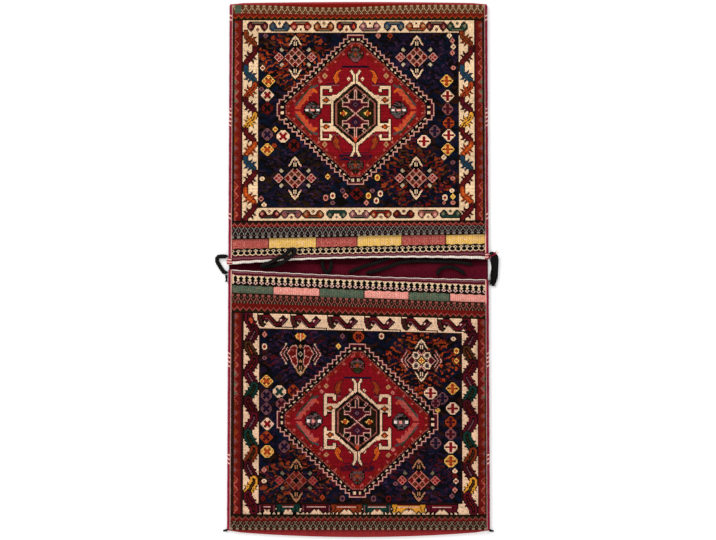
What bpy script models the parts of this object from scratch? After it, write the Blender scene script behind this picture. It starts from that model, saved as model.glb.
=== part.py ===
"""A traditional tribal double saddle bag (khorjin), lying flat on its back.

One strip of woven wool is folded up at both ends, so that it makes two pockets whose mouths face
each other across a narrow bridge. Knotted pile stands on the front of both pockets. Overcast
cords close the side seams, and loops of braided goat hair hang from the mouths.

Metres, +Z up. The origin is the middle of the underside of the bridge. +Y runs from the bridge to
the fold of the upper bag, and +X to the right as one looks down on the pile.
"""

from collections import namedtuple
from math import cos, pi, sin

import bmesh
import bpy
import numpy as np

# The strip of cloth
STRIP_WIDTH = 0.600  # over the side bindings, at the lower bag's fold
UPPER_NARROWING = 0.012  # how much narrower the strip is at the upper bag's fold
CLOTH_THICKNESS = 0.0030  # goat-hair and wool ground weave
SEWN_CLEARANCE = 0.0003  # between pieces that are sewn or knotted to each other
BRIDGE_LENGTH = 0.041  # between the two mouths, at the middle
POCKET_DEPTH = 0.012  # free height inside a pocket that lies empty
FOLD_FULLNESS = 0.35  # share of the pocket's height that is left at the fold
FOLD_SEGMENTS = 6
SLIT_WIDTH = 0.0015  # slit tapestry leaves a slit wherever two blocks meet

# The overcast side seams
BINDING_WIDTH = 0.0090
BINDING_WALL = 0.0020  # wool wrapped round the two selvedges
BINDING_ARC_SEGMENTS = 8
LASHING_LENGTH = 0.014  # red and white wool wound over the upper mouth's corners
LASHING_BULGE = 0.0035  # how far a lashing stands out past the binding
LASHING_WALL = 0.0030

# The knotted pile
PILE_HEIGHT = 0.006
GUARD_WIDTH = 0.024  # red guard between the binding and the cream border
BORDER_WIDTH = 0.0353  # cream border at the sides
FIELD_COLUMNS = 41  # steps of the drawing across the field, an odd count
FIELD_ROWS = 37  # steps of the drawing along the field, an odd count

# The drawing on the field, in steps
LOZENGE_REACH = 15  # from its middle step to its flat ends
LOZENGE_EDGE = 1  # thickness of its stepped outline
HEXAGON_SIDE = 4  # from the middle step to the hexagon's upright sides
HOOK_REACH = 7  # from the middle step to the outside of the latch hooks
STAR_COLUMN = 12  # from the field's middle to the corner stars
STAR_ROW = 13  # the same, along the bag
STAR_REACH = 4

# Bands of one bag, in metres from its fold to its mouth, at the middle of the strip. end_strip is
# the plain cloth that bulges past the pile. The skews are how much farther from the fold a line
# lies at the strip's left edge than at its middle, and mouth_bow is how much the mouth gapes.
Bag = namedtuple(
    "Bag",
    "name side end_strip end_lattice end_guard end_border field mouth_border mouth_guard "
    "mouth_lattice blocks figures edge border_skew mouth_skew mouth_bow slits lozenge_shift",
)
UPPER = Bag(
    name="upper",
    side=+1,
    end_strip=0.003,
    end_lattice=0.0195,
    end_guard=0.0170,
    end_border=0.0275,
    field=0.3970,
    mouth_border=0.0285,
    mouth_guard=0.0130,
    mouth_lattice=0.0220,
    blocks=0.0250,
    figures=0.0145,
    edge=0.0105,
    border_skew=0.0005,
    mouth_skew=0.0062,
    mouth_bow=0.0090,
    slits=(-0.206, -0.097, -0.003, 0.099, 0.200),
    lozenge_shift=2,
)
LOWER = Bag(
    name="lower",
    side=-1,
    end_strip=0.013,
    end_lattice=0.0200,
    end_guard=0.0160,
    end_border=0.0245,
    field=0.3920,
    mouth_border=0.0330,
    mouth_guard=0.0205,
    mouth_lattice=0.0190,
    blocks=0.0205,
    figures=0.0235,
    edge=0.0070,
    border_skew=0.0078,
    mouth_skew=0.0115,
    mouth_bow=0.0034,
    slits=(-0.195, -0.089, 0.013, 0.115, 0.209),
    lozenge_shift=1,
)

# Braided goat-hair cords. Each route is (x, y, height of the cord's underside over the bridge).
BRAID_DIAMETER = 0.0080
TIE_DIAMETER = 0.0090
BRAID_POINT_SPACING = 0.018

CLOSURE_LOOPS = {
    "closure_loop_1": [
        (-0.2230, 0.0000, 0.000), (-0.2000, 0.0030, 0.001), (-0.1800, 0.0060, 0.010),
        (-0.1620, 0.0130, 0.0175), (-0.1450, 0.0270, 0.0165), (-0.1460, 0.0390, 0.0165),
        (-0.1600, 0.0370, 0.0165), (-0.1740, 0.0270, 0.0165), (-0.1900, 0.0170, 0.0175),
        (-0.2050, 0.0080, 0.0130), (-0.2220, 0.0030, 0.0095),
    ],
    "closure_loop_2": [
        (-0.0820, 0.0160, 0.000), (-0.0815, 0.0050, 0.000), (-0.0785, -0.0060, 0.000),
        (-0.0715, -0.0125, 0.000), (-0.0645, -0.0060, 0.000), (-0.0625, 0.0050, 0.000),
        (-0.0620, 0.0160, 0.000),
    ],
    "closure_loop_3": [
        (-0.0230, -0.0130, 0.000), (-0.0020, -0.0040, 0.000), (0.0260, 0.0055, 0.000),
        (0.0560, 0.0150, 0.000), (0.0740, 0.0230, 0.000),
    ],
    "closure_loop_4": [
        (0.0170, -0.0140, 0.000), (0.0400, -0.0090, 0.000), (0.0680, 0.0000, 0.000),
        (0.0950, 0.0100, 0.000), (0.1290, 0.0140, 0.000), (0.1860, 0.0130, 0.000),
        (0.2310, 0.0110, 0.000), (0.2600, 0.0060, 0.000),
    ],
    "closure_loop_5": [
        (0.1790, -0.0190, 0.000), (0.1850, -0.0060, 0.000), (0.2020, 0.0000, 0.000),
        (0.2220, -0.0030, 0.000), (0.2430, -0.0160, 0.000),
    ],
}  # fmt: skip
# Pieces that lie on the floor beside the strip, as points between their seats on the seams. A
# point's first number is how far it lies beyond the strip's side. A seat is given by its distance
# from the bridge's middle.
LEFT_TIE = [
    (0.0080, 0.0245, 0.000), (0.0190, 0.0215, 0.000), (0.0225, 0.0130, 0.000),
    (0.0165, 0.0030, 0.000), (0.0115, -0.0070, 0.000), (0.0055, -0.0120, 0.000),
]  # fmt: skip
LEFT_TIE_SEATS = 0.0245, -0.0120
RIGHT_TASSEL = [
    (0.0090, 0.0245, 0.000), (0.0140, 0.0130, 0.000), (0.0155, -0.0050, 0.000),
    (0.0125, -0.0250, 0.000), (0.0050, -0.0430, 0.000),
]  # fmt: skip
RIGHT_TASSEL_SEAT = 0.0245
TASSEL_DIAMETER = 0.0125
LEFT_TUFT_SEAT = -0.0260
LEFT_TUFT_SIZE = (0.0050, 0.0170, 0.0080)
CORNER_KNOT_SIZE = (0.0100, 0.0080, 0.0080)

# Worked out from the sizes above
HALF_WIDTH = STRIP_WIDTH / 2
SEAM_THICKNESS = 2 * CLOTH_THICKNESS + SEWN_CLEARANCE
SEAM_LIFT = BINDING_WALL + SEWN_CLEARANCE  # the seams lie on the bindings' undersides
CLOTH_EDGE = HALF_WIDTH - BINDING_WALL - SEWN_CLEARANCE
BINDING_INSIDE = HALF_WIDTH - BINDING_WIDTH
GUARD_OUTSIDE = BINDING_INSIDE - SEWN_CLEARANCE
BORDER_OUTSIDE = GUARD_OUTSIDE - GUARD_WIDTH
FIELD_HALF_WIDTH = BORDER_OUTSIDE - BORDER_WIDTH

MADDER = (0.230, 0.012, 0.018)
MAROON = (0.075, 0.008, 0.014)
DARK_BROWN = (0.014, 0.009, 0.008)
CREAM = (0.740, 0.570, 0.330)
NAVY = (0.008, 0.010, 0.030)
CRIMSON = (0.300, 0.008, 0.022)
RUST = (0.190, 0.028, 0.012)
GREY_GREEN = (0.095, 0.090, 0.060)
PINK_WHITE = (0.520, 0.240, 0.210)
YELLOW = (0.720, 0.410, 0.090)
FADED_RED = (0.300, 0.035, 0.035)
BOTTLE_GREEN = (0.025, 0.060, 0.045)
SALMON = (0.720, 0.190, 0.150)
GOAT_BLACK = (0.010, 0.010, 0.010)


def length_of(bag):
    """From the outer line of the pile at the fold to the middle of the mouth."""
    return sum(height for _, height in bands_of(bag))


def bands_of(bag):
    """[(name, height)] of the bag's bands, from the fold to the mouth."""
    names = (
        "end_lattice end_guard end_border field mouth_border mouth_guard mouth_lattice "
        "blocks figures edge"
    ).split()
    return [(name, getattr(bag, name)) for name in names]


def lines_of(bag):
    """{name: (start, end)} of the bag's bands, as distances from the pile's outer line."""
    lines, start = {}, 0.0
    for name, height in bands_of(bag):
        lines[name] = start, start + height
        start += height
    return lines


def lay(bag, x, s):
    """Where the point x across and s from the fold of a bag lies on the floor, as (x, y).

    The bands near the mouth run askew, so their lines are tilted by a share that grows from the
    fold to the border and again over the guard and lattice. The mouth's own edge is bowed, and
    the whole strip narrows toward the upper bag.
    """
    lines, across = lines_of(bag), x / HALF_WIDTH
    border, lattice = lines["mouth_border"][1], lines["mouth_lattice"][1]
    edge = lines["edge"]
    skew = np.interp(s, [0, border, lattice], [0, bag.border_skew, bag.mouth_skew])
    bow = np.interp(s, edge, [0, bag.mouth_bow])
    along = s - skew * across + bow * across**2
    y = bag.side * (BRIDGE_LENGTH / 2 + length_of(bag) - along)
    return narrowed(x, y), y


def narrowed(x, y):
    """x once the strip's narrowing at y is taken off."""
    whole = BRIDGE_LENGTH + length_of(UPPER) + length_of(LOWER)
    share = (y + BRIDGE_LENGTH / 2 + length_of(LOWER)) / whole
    return x * (1 - UPPER_NARROWING / STRIP_WIDTH * share)


def fullness(x):
    """0 at the side seams and 1 over the cream border and the field."""
    return np.interp(np.abs(x), [BORDER_OUTSIDE, GUARD_OUTSIDE], [1, 0])


def back_height(x):
    """Height of the underside of the back, which the bindings lift at the seams."""
    return SEAM_LIFT * (1 - fullness(x))


def front_height(bag, x, s):
    """Height of the outer face of a bag's front, under its pile."""
    crease = lines_of(bag)["end_guard"][1]
    rise = np.interp(s, [0, crease], [FOLD_FULLNESS, 1])
    free = POCKET_DEPTH - SEWN_CLEARANCE
    return back_height(x) + SEAM_THICKNESS + free * fullness(x) * rise


def wool(name, colour):
    """A matt woollen material."""
    material = bpy.data.materials.get(name) or bpy.data.materials.new(name)
    material.use_nodes = True
    material.diffuse_color = (*colour, 1)
    shader = material.node_tree.nodes["Principled BSDF"]
    shader.inputs["Base Color"].default_value = (*colour, 1)
    shader.inputs["Roughness"].default_value = 0.9
    shader.inputs["Metallic"].default_value = 0.0
    shader.inputs["Specular IOR Level"].default_value = 0.2
    return material


def new_object(name, vertices, faces, materials, face_materials=None):
    """A mesh object of these vertices and faces."""
    mesh = bpy.data.meshes.new(name)
    mesh.from_pydata([tuple(v) for v in vertices], [], [tuple(f) for f in faces])
    for material in materials:
        mesh.materials.append(material)
    if face_materials is not None:
        mesh.polygons.foreach_set("material_index", face_materials)
    mesh.update()
    ob = bpy.data.objects.new(name, mesh)
    bpy.context.scene.collection.objects.link(ob)
    return ob


def flatten_faces(ob, angle=0.0005):
    """Dissolve the edges between faces that lie in one plane and have one material."""
    work = bmesh.new()
    work.from_mesh(ob.data)
    bmesh.ops.dissolve_limit(
        work,
        angle_limit=angle,
        verts=work.verts,
        edges=work.edges,
        use_dissolve_boundaries=False,
        delimit={"MATERIAL"},
    )
    work.to_mesh(ob.data)
    work.free()


# The folded cloth


def cloth_columns():
    """Lines across the strip where the cloth bends or is slit."""
    bends = [GUARD_OUTSIDE, BORDER_OUTSIDE]
    columns = [-CLOTH_EDGE, CLOTH_EDGE] + bends + [-x for x in bends]
    for slit in UPPER.slits + LOWER.slits:
        columns += [slit - SLIT_WIDTH / 2, slit + SLIT_WIDTH / 2]
    return np.array(sorted(columns))


def front_rows(bag, x):
    """[(points, band)] up a bag's front, from its mouth to the line where its fold starts."""
    rows = []
    for name, (start, end) in reversed(lines_of(bag).items()):
        rows.append((end, name))
    rows.append((0.0, "end_strip"))
    placed = []
    for s, name in rows:
        flat_x, y = lay(bag, x, s)
        placed.append((np.stack([flat_x, y, front_height(bag, x, s)], 1), name))
    return placed


def fold_rows(bag, x):
    """[(points, band)] round a bag's fold, from its front to its back."""
    bulge = bag.end_strip * (1 - (x / CLOTH_EDGE) ** 2)
    top, bottom = front_height(bag, x, 0.0), back_height(x)
    radius, middle = (top - bottom) / 2, (top + bottom) / 2
    flat_x, y = lay(bag, x, -bulge)
    rows = []
    for k in range(FOLD_SEGMENTS + 1):
        turn = pi * k / FOLD_SEGMENTS
        out = y + bag.side * radius * sin(turn)
        rows.append((np.stack([flat_x, out, middle + radius * cos(turn)], 1), "fold"))
    return rows


def make_cloth(bag):
    """A bag's half of the strip, from its mouth round its fold to the middle of the bridge."""
    x = cloth_columns()
    placed = front_rows(bag, x) + fold_rows(bag, x)
    # each row names the band that follows it
    names = [band for _, band in placed[:-1]] + ["back"]
    middle = np.full(len(x), bag.side * SEWN_CLEARANCE / 2)
    end = np.stack([narrowed(x, middle), middle, back_height(x)], 1)
    points = [p for p, _ in placed] + [end]
    if bag is LOWER:
        names, points = names[::-1], points[::-1]
    materials = [
        wool("ground_weave", MADDER),
        wool("lining_weave", MAROON),
        wool("figure_band", DARK_BROWN),
        wool("edge_stripe", CREAM),
        wool("yellow_block", YELLOW),
        wool("red_block", FADED_RED),
        wool("salmon_block", SALMON),
        wool("green_block", BOTTLE_GREEN),
    ]
    finish = {"back": 1, "figures": 2, "edge": 3}
    count, faces, painted = len(x), [], []
    for row in range(len(points) - 1):
        band = names[row]
        for column in range(count - 1):
            middle = (x[column] + x[column + 1]) / 2
            if band == "blocks" and slit_at(bag, middle):
                continue
            corner = row * count + column
            quad = corner, corner + 1, corner + count + 1, corner + count
            # the upper bag's rows start at its mouth, and the lower bag's end there
            faces += halves(*quad, from_first=(middle > 0) == (bag is UPPER))
            painted += 2 * [block_finish(bag, middle) if band == "blocks" else finish.get(band, 0)]
    ob = new_object(f"{bag.name}_cloth", np.concatenate(points), faces, materials, painted)
    solid = ob.modifiers.new("thickness", "SOLIDIFY")
    solid.thickness = CLOTH_THICKNESS
    solid.offset = -1
    solid.use_even_offset = True
    return ob


def halves(a, b, c, d, from_first):
    """Two triangles of a quad. Both halves of a bag are split from the fold's outer corner inward."""
    return [(a, b, c), (a, c, d)] if from_first else [(a, b, d), (b, c, d)]


def slit_at(bag, x):
    return any(abs(x - slit) < SLIT_WIDTH / 2 for slit in bag.slits)


def block_finish(bag, x):
    """The two colours of a bag's slit tapestry blocks take turns across it."""
    turn = sum(x > slit for slit in bag.slits) % 2
    return (5, 4)[turn] if bag is UPPER else (7, 6)[turn]


# The pile, one slab for each field of colour


def pile_grid(bag):
    """The lines of the drawing on a bag: (x lines, s lines, {band: its first row})."""
    step_lines = np.linspace(-FIELD_HALF_WIDTH, FIELD_HALF_WIDTH, FIELD_COLUMNS + 1)
    sides = [-GUARD_OUTSIDE, -BORDER_OUTSIDE], [BORDER_OUTSIDE, GUARD_OUTSIDE]
    x = np.concatenate([sides[0], step_lines, sides[1]])
    s, first = [0.0], {}
    for name, (start, end) in lines_of(bag).items():
        if name == "blocks":
            break
        first[name] = len(s) - 1
        steps = FIELD_ROWS if name == "field" else 1
        s += list(np.linspace(start, end, steps + 1)[1:])
    return x, np.array(s), first


def lozenge(i, j, inset):
    """A stepped lozenge with its four points cut flat, drawn in from its full size by inset steps."""
    reach = LOZENGE_REACH - inset
    return (np.maximum(i, j) <= reach) & (i + j <= reach + 1 - inset)


def hooked_hexagon(i, j):
    """An upright hexagon's outline with pronged points and a latch hook at each shoulder."""
    side, reach = HEXAGON_SIDE, HOOK_REACH
    upright = (i == side) & (j <= 1)
    slopes = (i <= side) & (j >= 2) & ((i + j == side + 1) | (i + j == side + 2))
    prongs = ((i <= 1) & (j == side + 2)) | ((i == 1) & (j == side + 3))
    block = (i > side) & (i <= reach) & (j >= 1) & (j <= 2)
    bar = (i == reach) & (j >= 2) & (j <= 5)
    back = (i >= reach - 2) & (i <= reach) & (j == 5)
    tip = (i == reach - 2) & (j == 4)
    return upright | slopes | prongs | block | bar | back | tip


def hexagon_inside(i, j):
    return (i < HEXAGON_SIDE) & (i + j <= HEXAGON_SIDE)


def corner_star(i, j):
    """A diamond with an arm on each point, and a bar across each arm."""
    diamond = i + j <= 2
    arms = (np.minimum(i, j) == 0) & (np.maximum(i, j) <= STAR_REACH)
    bars = (np.minimum(i, j) <= 1) & (np.maximum(i, j) == STAR_REACH - 1)
    return diamond | arms | bars


def drawing(bag):
    """{node name: (its cells, its colour)} for each field of colour in a bag's pile."""
    x, s, first = pile_grid(bag)
    shape = len(s) - 1, len(x) - 1
    row, column = np.indices(shape)
    pile = np.zeros(shape, bool)
    last_row, last_column = shape[0] - 1, shape[1] - 1
    end_lattice, mouth_lattice = row == first["end_lattice"], row == first["mouth_lattice"]
    inside_border = (row > first["end_border"]) & (row < first["mouth_border"])
    inside_border &= (column > 1) & (column < last_column - 1)
    inside_guard = (row >= first["end_border"]) & (row <= first["mouth_border"])
    inside_guard &= (column > 0) & (column < last_column)
    border = inside_guard & ~inside_border
    guard = ~inside_guard & ~end_lattice & ~mouth_lattice

    middle_row = first["field"] + FIELD_ROWS // 2
    i = np.abs(column - (2 + FIELD_COLUMNS // 2))
    j = np.abs(row - (middle_row - bag.lozenge_shift))
    outer = inside_border & lozenge(i, j, 0)
    inner = inside_border & lozenge(i, j, LOZENGE_EDGE)
    hexagon, centre = inner & hooked_hexagon(i, j), inner & hexagon_inside(i, j)
    fields = {
        "end_lattice": (end_lattice, GREY_GREEN),
        "mouth_lattice": (mouth_lattice, DARK_BROWN),
        "guard": (guard, RUST),
        "border": (border, CREAM),
        "lozenge_edge": (outer & ~inner, PINK_WHITE),
        "lozenge": (inner & ~hexagon & ~centre, CRIMSON),
        "hooked_hexagon": (hexagon, CREAM),
        "hexagon_centre": (centre, BOTTLE_GREEN),
    }
    pile |= outer
    corners = [("fold", "left"), ("fold", "right"), ("mouth", "left"), ("mouth", "right")]
    for end, hand in corners:
        star_row = middle_row + (STAR_ROW if end == "mouth" else -STAR_ROW)
        star_column = 2 + FIELD_COLUMNS // 2 + (STAR_COLUMN if hand == "right" else -STAR_COLUMN)
        star = inside_border & corner_star(abs(column - star_column), abs(row - star_row))
        fields[f"star_{end}_{hand}"] = (star & ~pile, SALMON)
        pile |= star
    fields["field"] = (inside_border & ~pile, NAVY)
    return {f"{bag.name}_{name}_pile": value for name, value in fields.items()}


def make_pile(bag, name, cells, colour):
    """A slab of pile over some cells of a bag's grid, drawn in a little from its neighbours."""
    x, s, _ = pile_grid(bag)
    padded = np.pad(cells, 1).astype(int)
    low_left, low_right = padded[:-1, :-1], padded[:-1, 1:]
    high_left, high_right = padded[1:, :-1], padded[1:, 1:]
    inset = SEWN_CLEARANCE / 2
    shift_x = inset * np.sign(low_right + high_right - low_left - high_left)
    shift_s = inset * np.sign(high_left + high_right - low_left - low_right)
    grid_x, grid_s = np.meshgrid(x, s)
    flat_x, y = lay(bag, grid_x + shift_x, grid_s + shift_s)
    under = front_height(bag, grid_x + shift_x, grid_s + shift_s) + SEWN_CLEARANCE
    count = grid_x.size
    points = np.stack([flat_x, y, under], -1).reshape(-1, 3)
    points = np.concatenate([points, points + (0, 0, PILE_HEIGHT)])

    columns = len(x)
    faces = []
    for row, column in np.argwhere(cells):
        corner = row * columns + column
        a, b, c, d = corner, corner + 1, corner + columns + 1, corner + columns
        for half in halves(a, b, c, d, from_first=column < columns // 2):
            faces += [half, tuple(v + count for v in half[::-1])]
        sides = {(0, -1): (b, a), (1, 0): (c, b), (0, 1): (d, c), (-1, 0): (a, d)}
        for (right, up), (p, q) in sides.items():
            if not padded[row + 1 + up, column + 1 + right]:
                faces += [(p, q, q + count, p + count)]
    used = np.unique(np.concatenate([np.array(f) for f in faces]))
    order = {int(v): n for n, v in enumerate(used)}
    faces = [[order[int(v)] for v in f] for f in faces]
    if bag.side < 0:
        faces = [f[::-1] for f in faces]
    ob = new_object(name, points[used], faces, [wool(name, colour)])
    flatten_faces(ob)
    return ob


# The bindings


def seam_section(hand, outward, wall):
    """The section of a wrapping round the two selvedges, as (x, z), for the left or right hand."""
    lip = SEAM_LIFT + SEAM_THICKNESS + SEWN_CLEARANCE
    top = lip + wall
    slot = CLOTH_EDGE + SEWN_CLEARANCE
    turn_at = HALF_WIDTH - BINDING_WIDTH / 2
    section = [(BINDING_INSIDE, 0.0)]
    for k in range(BINDING_ARC_SEGMENTS + 1):
        turn = -pi / 2 + pi * k / BINDING_ARC_SEGMENTS
        reach = (HALF_WIDTH + outward - turn_at) * cos(turn)
        section.append((turn_at + reach, top / 2 + top / 2 * sin(turn)))
    section += [(BINDING_INSIDE, top), (BINDING_INSIDE, lip)]
    section += [(slot, lip), (slot, SEAM_LIFT - SEWN_CLEARANCE)]
    section += [(BINDING_INSIDE, SEAM_LIFT - SEWN_CLEARANCE)]
    return [(hand * x, z) for x, z in section]


def make_wrapping(name, hand, y_from, y_to, outward, wall, colour):
    """A wrapping along the seam on one hand, from y_from to y_to."""
    section = seam_section(hand, outward, wall)
    count = len(section)
    points = [(narrowed(x, y), y, z) for y in (y_from, y_to) for x, z in section]
    faces = [list(range(count))[::-1], [count + k for k in range(count)]]
    for k in range(count):
        after = (k + 1) % count
        faces.append([k, after, after + count, k + count])
    ob = new_object(name, points, faces, [wool(name, colour)])
    work = bmesh.new()
    work.from_mesh(ob.data)
    bmesh.ops.recalc_face_normals(work, faces=work.faces)
    work.to_mesh(ob.data)
    work.free()
    return ob


def seam_ends(bag, hand):
    """(y at the fold, y at the mouth) of a bag's seam on one hand."""
    edge = hand * CLOTH_EDGE
    return lay(bag, edge, 0.0)[1], lay(bag, edge, length_of(bag))[1]


def make_bindings():
    for bag in (UPPER, LOWER):
        for hand, side in ((-1, "left"), (1, "right")):
            fold, mouth = seam_ends(bag, hand)
            if bag is UPPER:
                wound = mouth + LASHING_LENGTH
                make_wrapping(
                    f"lashing_{side}", hand, mouth, wound, LASHING_BULGE, LASHING_WALL, FADED_RED
                )
                mouth = wound + SEWN_CLEARANCE
            make_wrapping(f"binding_{bag.name}_{side}", hand, fold, mouth, 0, BINDING_WALL, CRIMSON)


# Braids, tassel and knots


def smooth_route(points, spacing):
    """Points about spacing apart on the Catmull-Rom curve through a route."""
    route = np.array(points, float)
    ends = 2 * route[0] - route[1], 2 * route[-1] - route[-2]
    route = np.vstack([ends[0], route, ends[1]])
    placed = [route[1]]
    for before, start, end, after in zip(route, route[1:], route[2:], route[3:]):
        count = max(1, round(np.linalg.norm(end - start) / spacing * 2))
        for k in range(1, count + 1):
            t = k / count
            bend = 2 * before - 5 * start + 4 * end - after
            turn = 3 * start - before - 3 * end + after
            placed.append(start + t * (end - before) / 2 + t**2 * bend / 2 + t**3 * turn / 2)
    return placed


def make_braid(name, route, diameter, floor, thickness=None):
    """A round braid along a route whose heights are those of its underside over floor."""
    curve = bpy.data.curves.new(name, "CURVE")
    curve.dimensions = "3D"
    curve.bevel_depth = diameter / 2
    curve.bevel_resolution = 2
    curve.use_fill_caps = True
    lift = floor + SEWN_CLEARANCE + diameter / 2
    points = smooth_route([(x, y, z + lift) for x, y, z in route], BRAID_POINT_SPACING)
    spline = curve.splines.new("POLY")
    spline.points.add(len(points) - 1)
    for k, (point, place) in enumerate(zip(spline.points, points)):
        point.co = (*place, 1)
        point.radius = thickness(k / (len(points) - 1)) if thickness else 1
    curve.materials.append(wool("goat_hair", GOAT_BLACK))
    ob = bpy.data.objects.new(name, curve)
    bpy.context.scene.collection.objects.link(ob)
    return ob


def make_knot(name, place, size):
    """A small tuft or knot of hair that lies on the floor."""
    work = bmesh.new()
    bmesh.ops.create_icosphere(work, subdivisions=2, radius=0.5)
    bmesh.ops.scale(work, vec=size, verts=work.verts)
    mesh = bpy.data.meshes.new(name)
    work.to_mesh(mesh)
    work.free()
    mesh.materials.append(wool("goat_hair", GOAT_BLACK))
    mesh.shade_smooth()
    ob = bpy.data.objects.new(name, mesh)
    ob.location = (*place, SEWN_CLEARANCE + size[2] / 2)
    bpy.context.scene.collection.objects.link(ob)
    return ob


def beside_seam(hand, y, bulge=0.0):
    """x of a point that lies just clear of the outside of a seam's wrapping."""
    return hand * narrowed(HALF_WIDTH + bulge + SEWN_CLEARANCE, y)


def make_seam_hair():
    """The tie, tassel, tuft and knots of goat hair that are sewn to the side seams."""
    start, end = LEFT_TIE_SEATS
    free = [(-HALF_WIDTH - out, y, z) for out, y, z in LEFT_TIE]
    route = [(beside_seam(-1, start), start, 0), *free, (beside_seam(-1, end), end, 0)]
    make_braid("left_tie", route, TIE_DIAMETER, 0.0)
    start = RIGHT_TASSEL_SEAT
    free = [(HALF_WIDTH + out, y, z) for out, y, z in RIGHT_TASSEL]
    route = [(beside_seam(1, start, LASHING_BULGE), start, 0), *free]
    make_braid("right_tassel", route, TASSEL_DIAMETER, 0.0, lambda t: 1 - 0.35 * t)
    beside = beside_seam(-1, LEFT_TUFT_SEAT) - LEFT_TUFT_SIZE[0] / 2
    make_knot("left_tuft", (beside, LEFT_TUFT_SEAT), LEFT_TUFT_SIZE)
    for hand, side in ((-1, "left"), (1, "right")):
        # three tenths of a knot's width stands out, where its side is a tenth of its length back
        out = hand * (HALF_WIDTH + 0.3 * CORNER_KNOT_SIZE[0])
        past = seam_ends(LOWER, hand)[0] - 0.4 * CORNER_KNOT_SIZE[1] - SEWN_CLEARANCE
        make_knot(f"corner_knot_{side}", (out, past), CORNER_KNOT_SIZE)


def main():
    for ob in list(bpy.data.objects):
        bpy.data.objects.remove(ob, do_unlink=True)
    for bag in (UPPER, LOWER):
        make_cloth(bag)
        for name, (cells, colour) in drawing(bag).items():
            make_pile(bag, name, cells, colour)
    make_bindings()
    for name, route in CLOSURE_LOOPS.items():
        make_braid(name, route, BRAID_DIAMETER, CLOTH_THICKNESS)
    make_seam_hair()


main()
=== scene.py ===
# %% [markdown]
# # A woven double saddle bag
#
# One long strip of wool and goat hair is folded at both ends and overcast down its sides, so it makes
# two flat pockets whose mouths face each other across a short bridge. Knotted pile covers both fronts.
# Here each front gets a sheet of pile with one coloured face for every knot, and numpy draws the
# pattern on a grid of knots, as a weaver does from memory: with lines, diamonds and hooks.

from math import pi

import bpy
import numpy as np
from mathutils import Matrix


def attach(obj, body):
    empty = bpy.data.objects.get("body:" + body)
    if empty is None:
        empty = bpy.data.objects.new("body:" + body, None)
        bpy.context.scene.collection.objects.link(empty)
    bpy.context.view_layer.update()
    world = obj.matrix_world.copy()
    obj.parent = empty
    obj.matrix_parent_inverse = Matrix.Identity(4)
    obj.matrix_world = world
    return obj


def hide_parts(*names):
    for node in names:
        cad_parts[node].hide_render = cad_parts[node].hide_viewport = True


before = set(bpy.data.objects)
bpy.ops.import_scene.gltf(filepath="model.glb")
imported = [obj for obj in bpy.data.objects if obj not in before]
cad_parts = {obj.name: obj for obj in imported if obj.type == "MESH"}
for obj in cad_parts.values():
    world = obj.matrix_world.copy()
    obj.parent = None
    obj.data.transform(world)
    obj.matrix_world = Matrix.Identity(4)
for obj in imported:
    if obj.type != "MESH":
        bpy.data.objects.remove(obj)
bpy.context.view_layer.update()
print(len(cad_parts), "CAD nodes")

# %% [markdown]
# ## Camera, floor and light
#
# The bag is seen from straight above, a little over twice as tall as wide. A long lens far away keeps
# the sides parallel. A pale floor under an even sky lets each wool show about the colour that it has,
# and a weak sun from the upper left shades the pile. The floor is lifted to white for the camera alone.


# %% One function for nodes, one for colours
def add(tree, kind, settings=None, **inputs):
    """A node of that kind, with its settings, and with a value or a link for each input.

    An input's name is its socket's name in lower case, with spaces as underscores, and sockets that
    share a name are reached by their number, as in_1.
    """
    node = tree.nodes.new(kind)
    for name, value in (settings or {}).items():
        setattr(node, name, value)
    for name, value in inputs.items():
        if name.startswith("in_"):
            socket = node.inputs[int(name[3:])]
        else:
            socket = next(s for s in node.inputs if s.name.lower().replace(" ", "_") == name)
        if isinstance(value, bpy.types.NodeSocket):
            tree.links.new(value, socket)
        else:
            socket.default_value = value
    return node


def linear(code):
    """An sRGB hex value as linear red, green and blue: the sRGB curve, undone channel by channel."""
    channels = np.array([int(code[k : k + 2], 16) for k in (1, 3, 5)]) / 255
    low, high = channels / 12.92, ((channels + 0.055) / 1.055) ** 2.4
    return np.where(channels <= 0.04045, low, high)


def new_material(name):
    """An empty material, its node tree and its output."""
    material = bpy.data.materials.new(name)
    material.use_nodes = True
    tree = material.node_tree
    tree.nodes.clear()
    return material, tree, tree.nodes.new("ShaderNodeOutputMaterial")


# %% The camera
VIEW_CENTRE = (-0.0011, -0.0068)  # what the middle of the picture shows
VIEW_WIDTH = 1.632  # metres across the picture
LENS = 85  # millimetres
camera = bpy.data.objects.new("camera", bpy.data.cameras.new("camera"))
camera.data.lens = LENS
camera.location = (*VIEW_CENTRE, VIEW_WIDTH * LENS / camera.data.sensor_width)
camera.data.clip_end = 20
bpy.context.scene.collection.objects.link(camera)
bpy.context.scene.camera = camera
bpy.context.scene.view_settings.view_transform = "Standard"
print("camera at", tuple(round(c, 3) for c in camera.location))

# %% The sky and the sun
world = bpy.data.worlds.new("studio")
world.use_nodes = True
bpy.context.scene.world = world
sky = world.node_tree
sky.nodes.clear()
rays = add(sky, "ShaderNodeLightPath")
seen = add(sky, "ShaderNodeMath", {"operation": "MAXIMUM"}, in_0=rays.outputs["Is Camera Ray"],
           in_1=rays.outputs["Is Glossy Ray"])
seen = add(sky, "ShaderNodeMath", {"operation": "MAXIMUM"}, in_0=seen.outputs[0],
           in_1=rays.outputs["Is Transmission Ray"])
soft = add(sky, "ShaderNodeBackground", color=(1, 1, 1, 1), strength=0.72)
white = add(sky, "ShaderNodeBackground", color=(1, 1, 1, 1), strength=1.0)
both = add(sky, "ShaderNodeMixShader", in_0=seen.outputs[0], in_1=soft.outputs[0],
           in_2=white.outputs[0])
add(sky, "ShaderNodeOutputWorld", surface=both.outputs[0])

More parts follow.
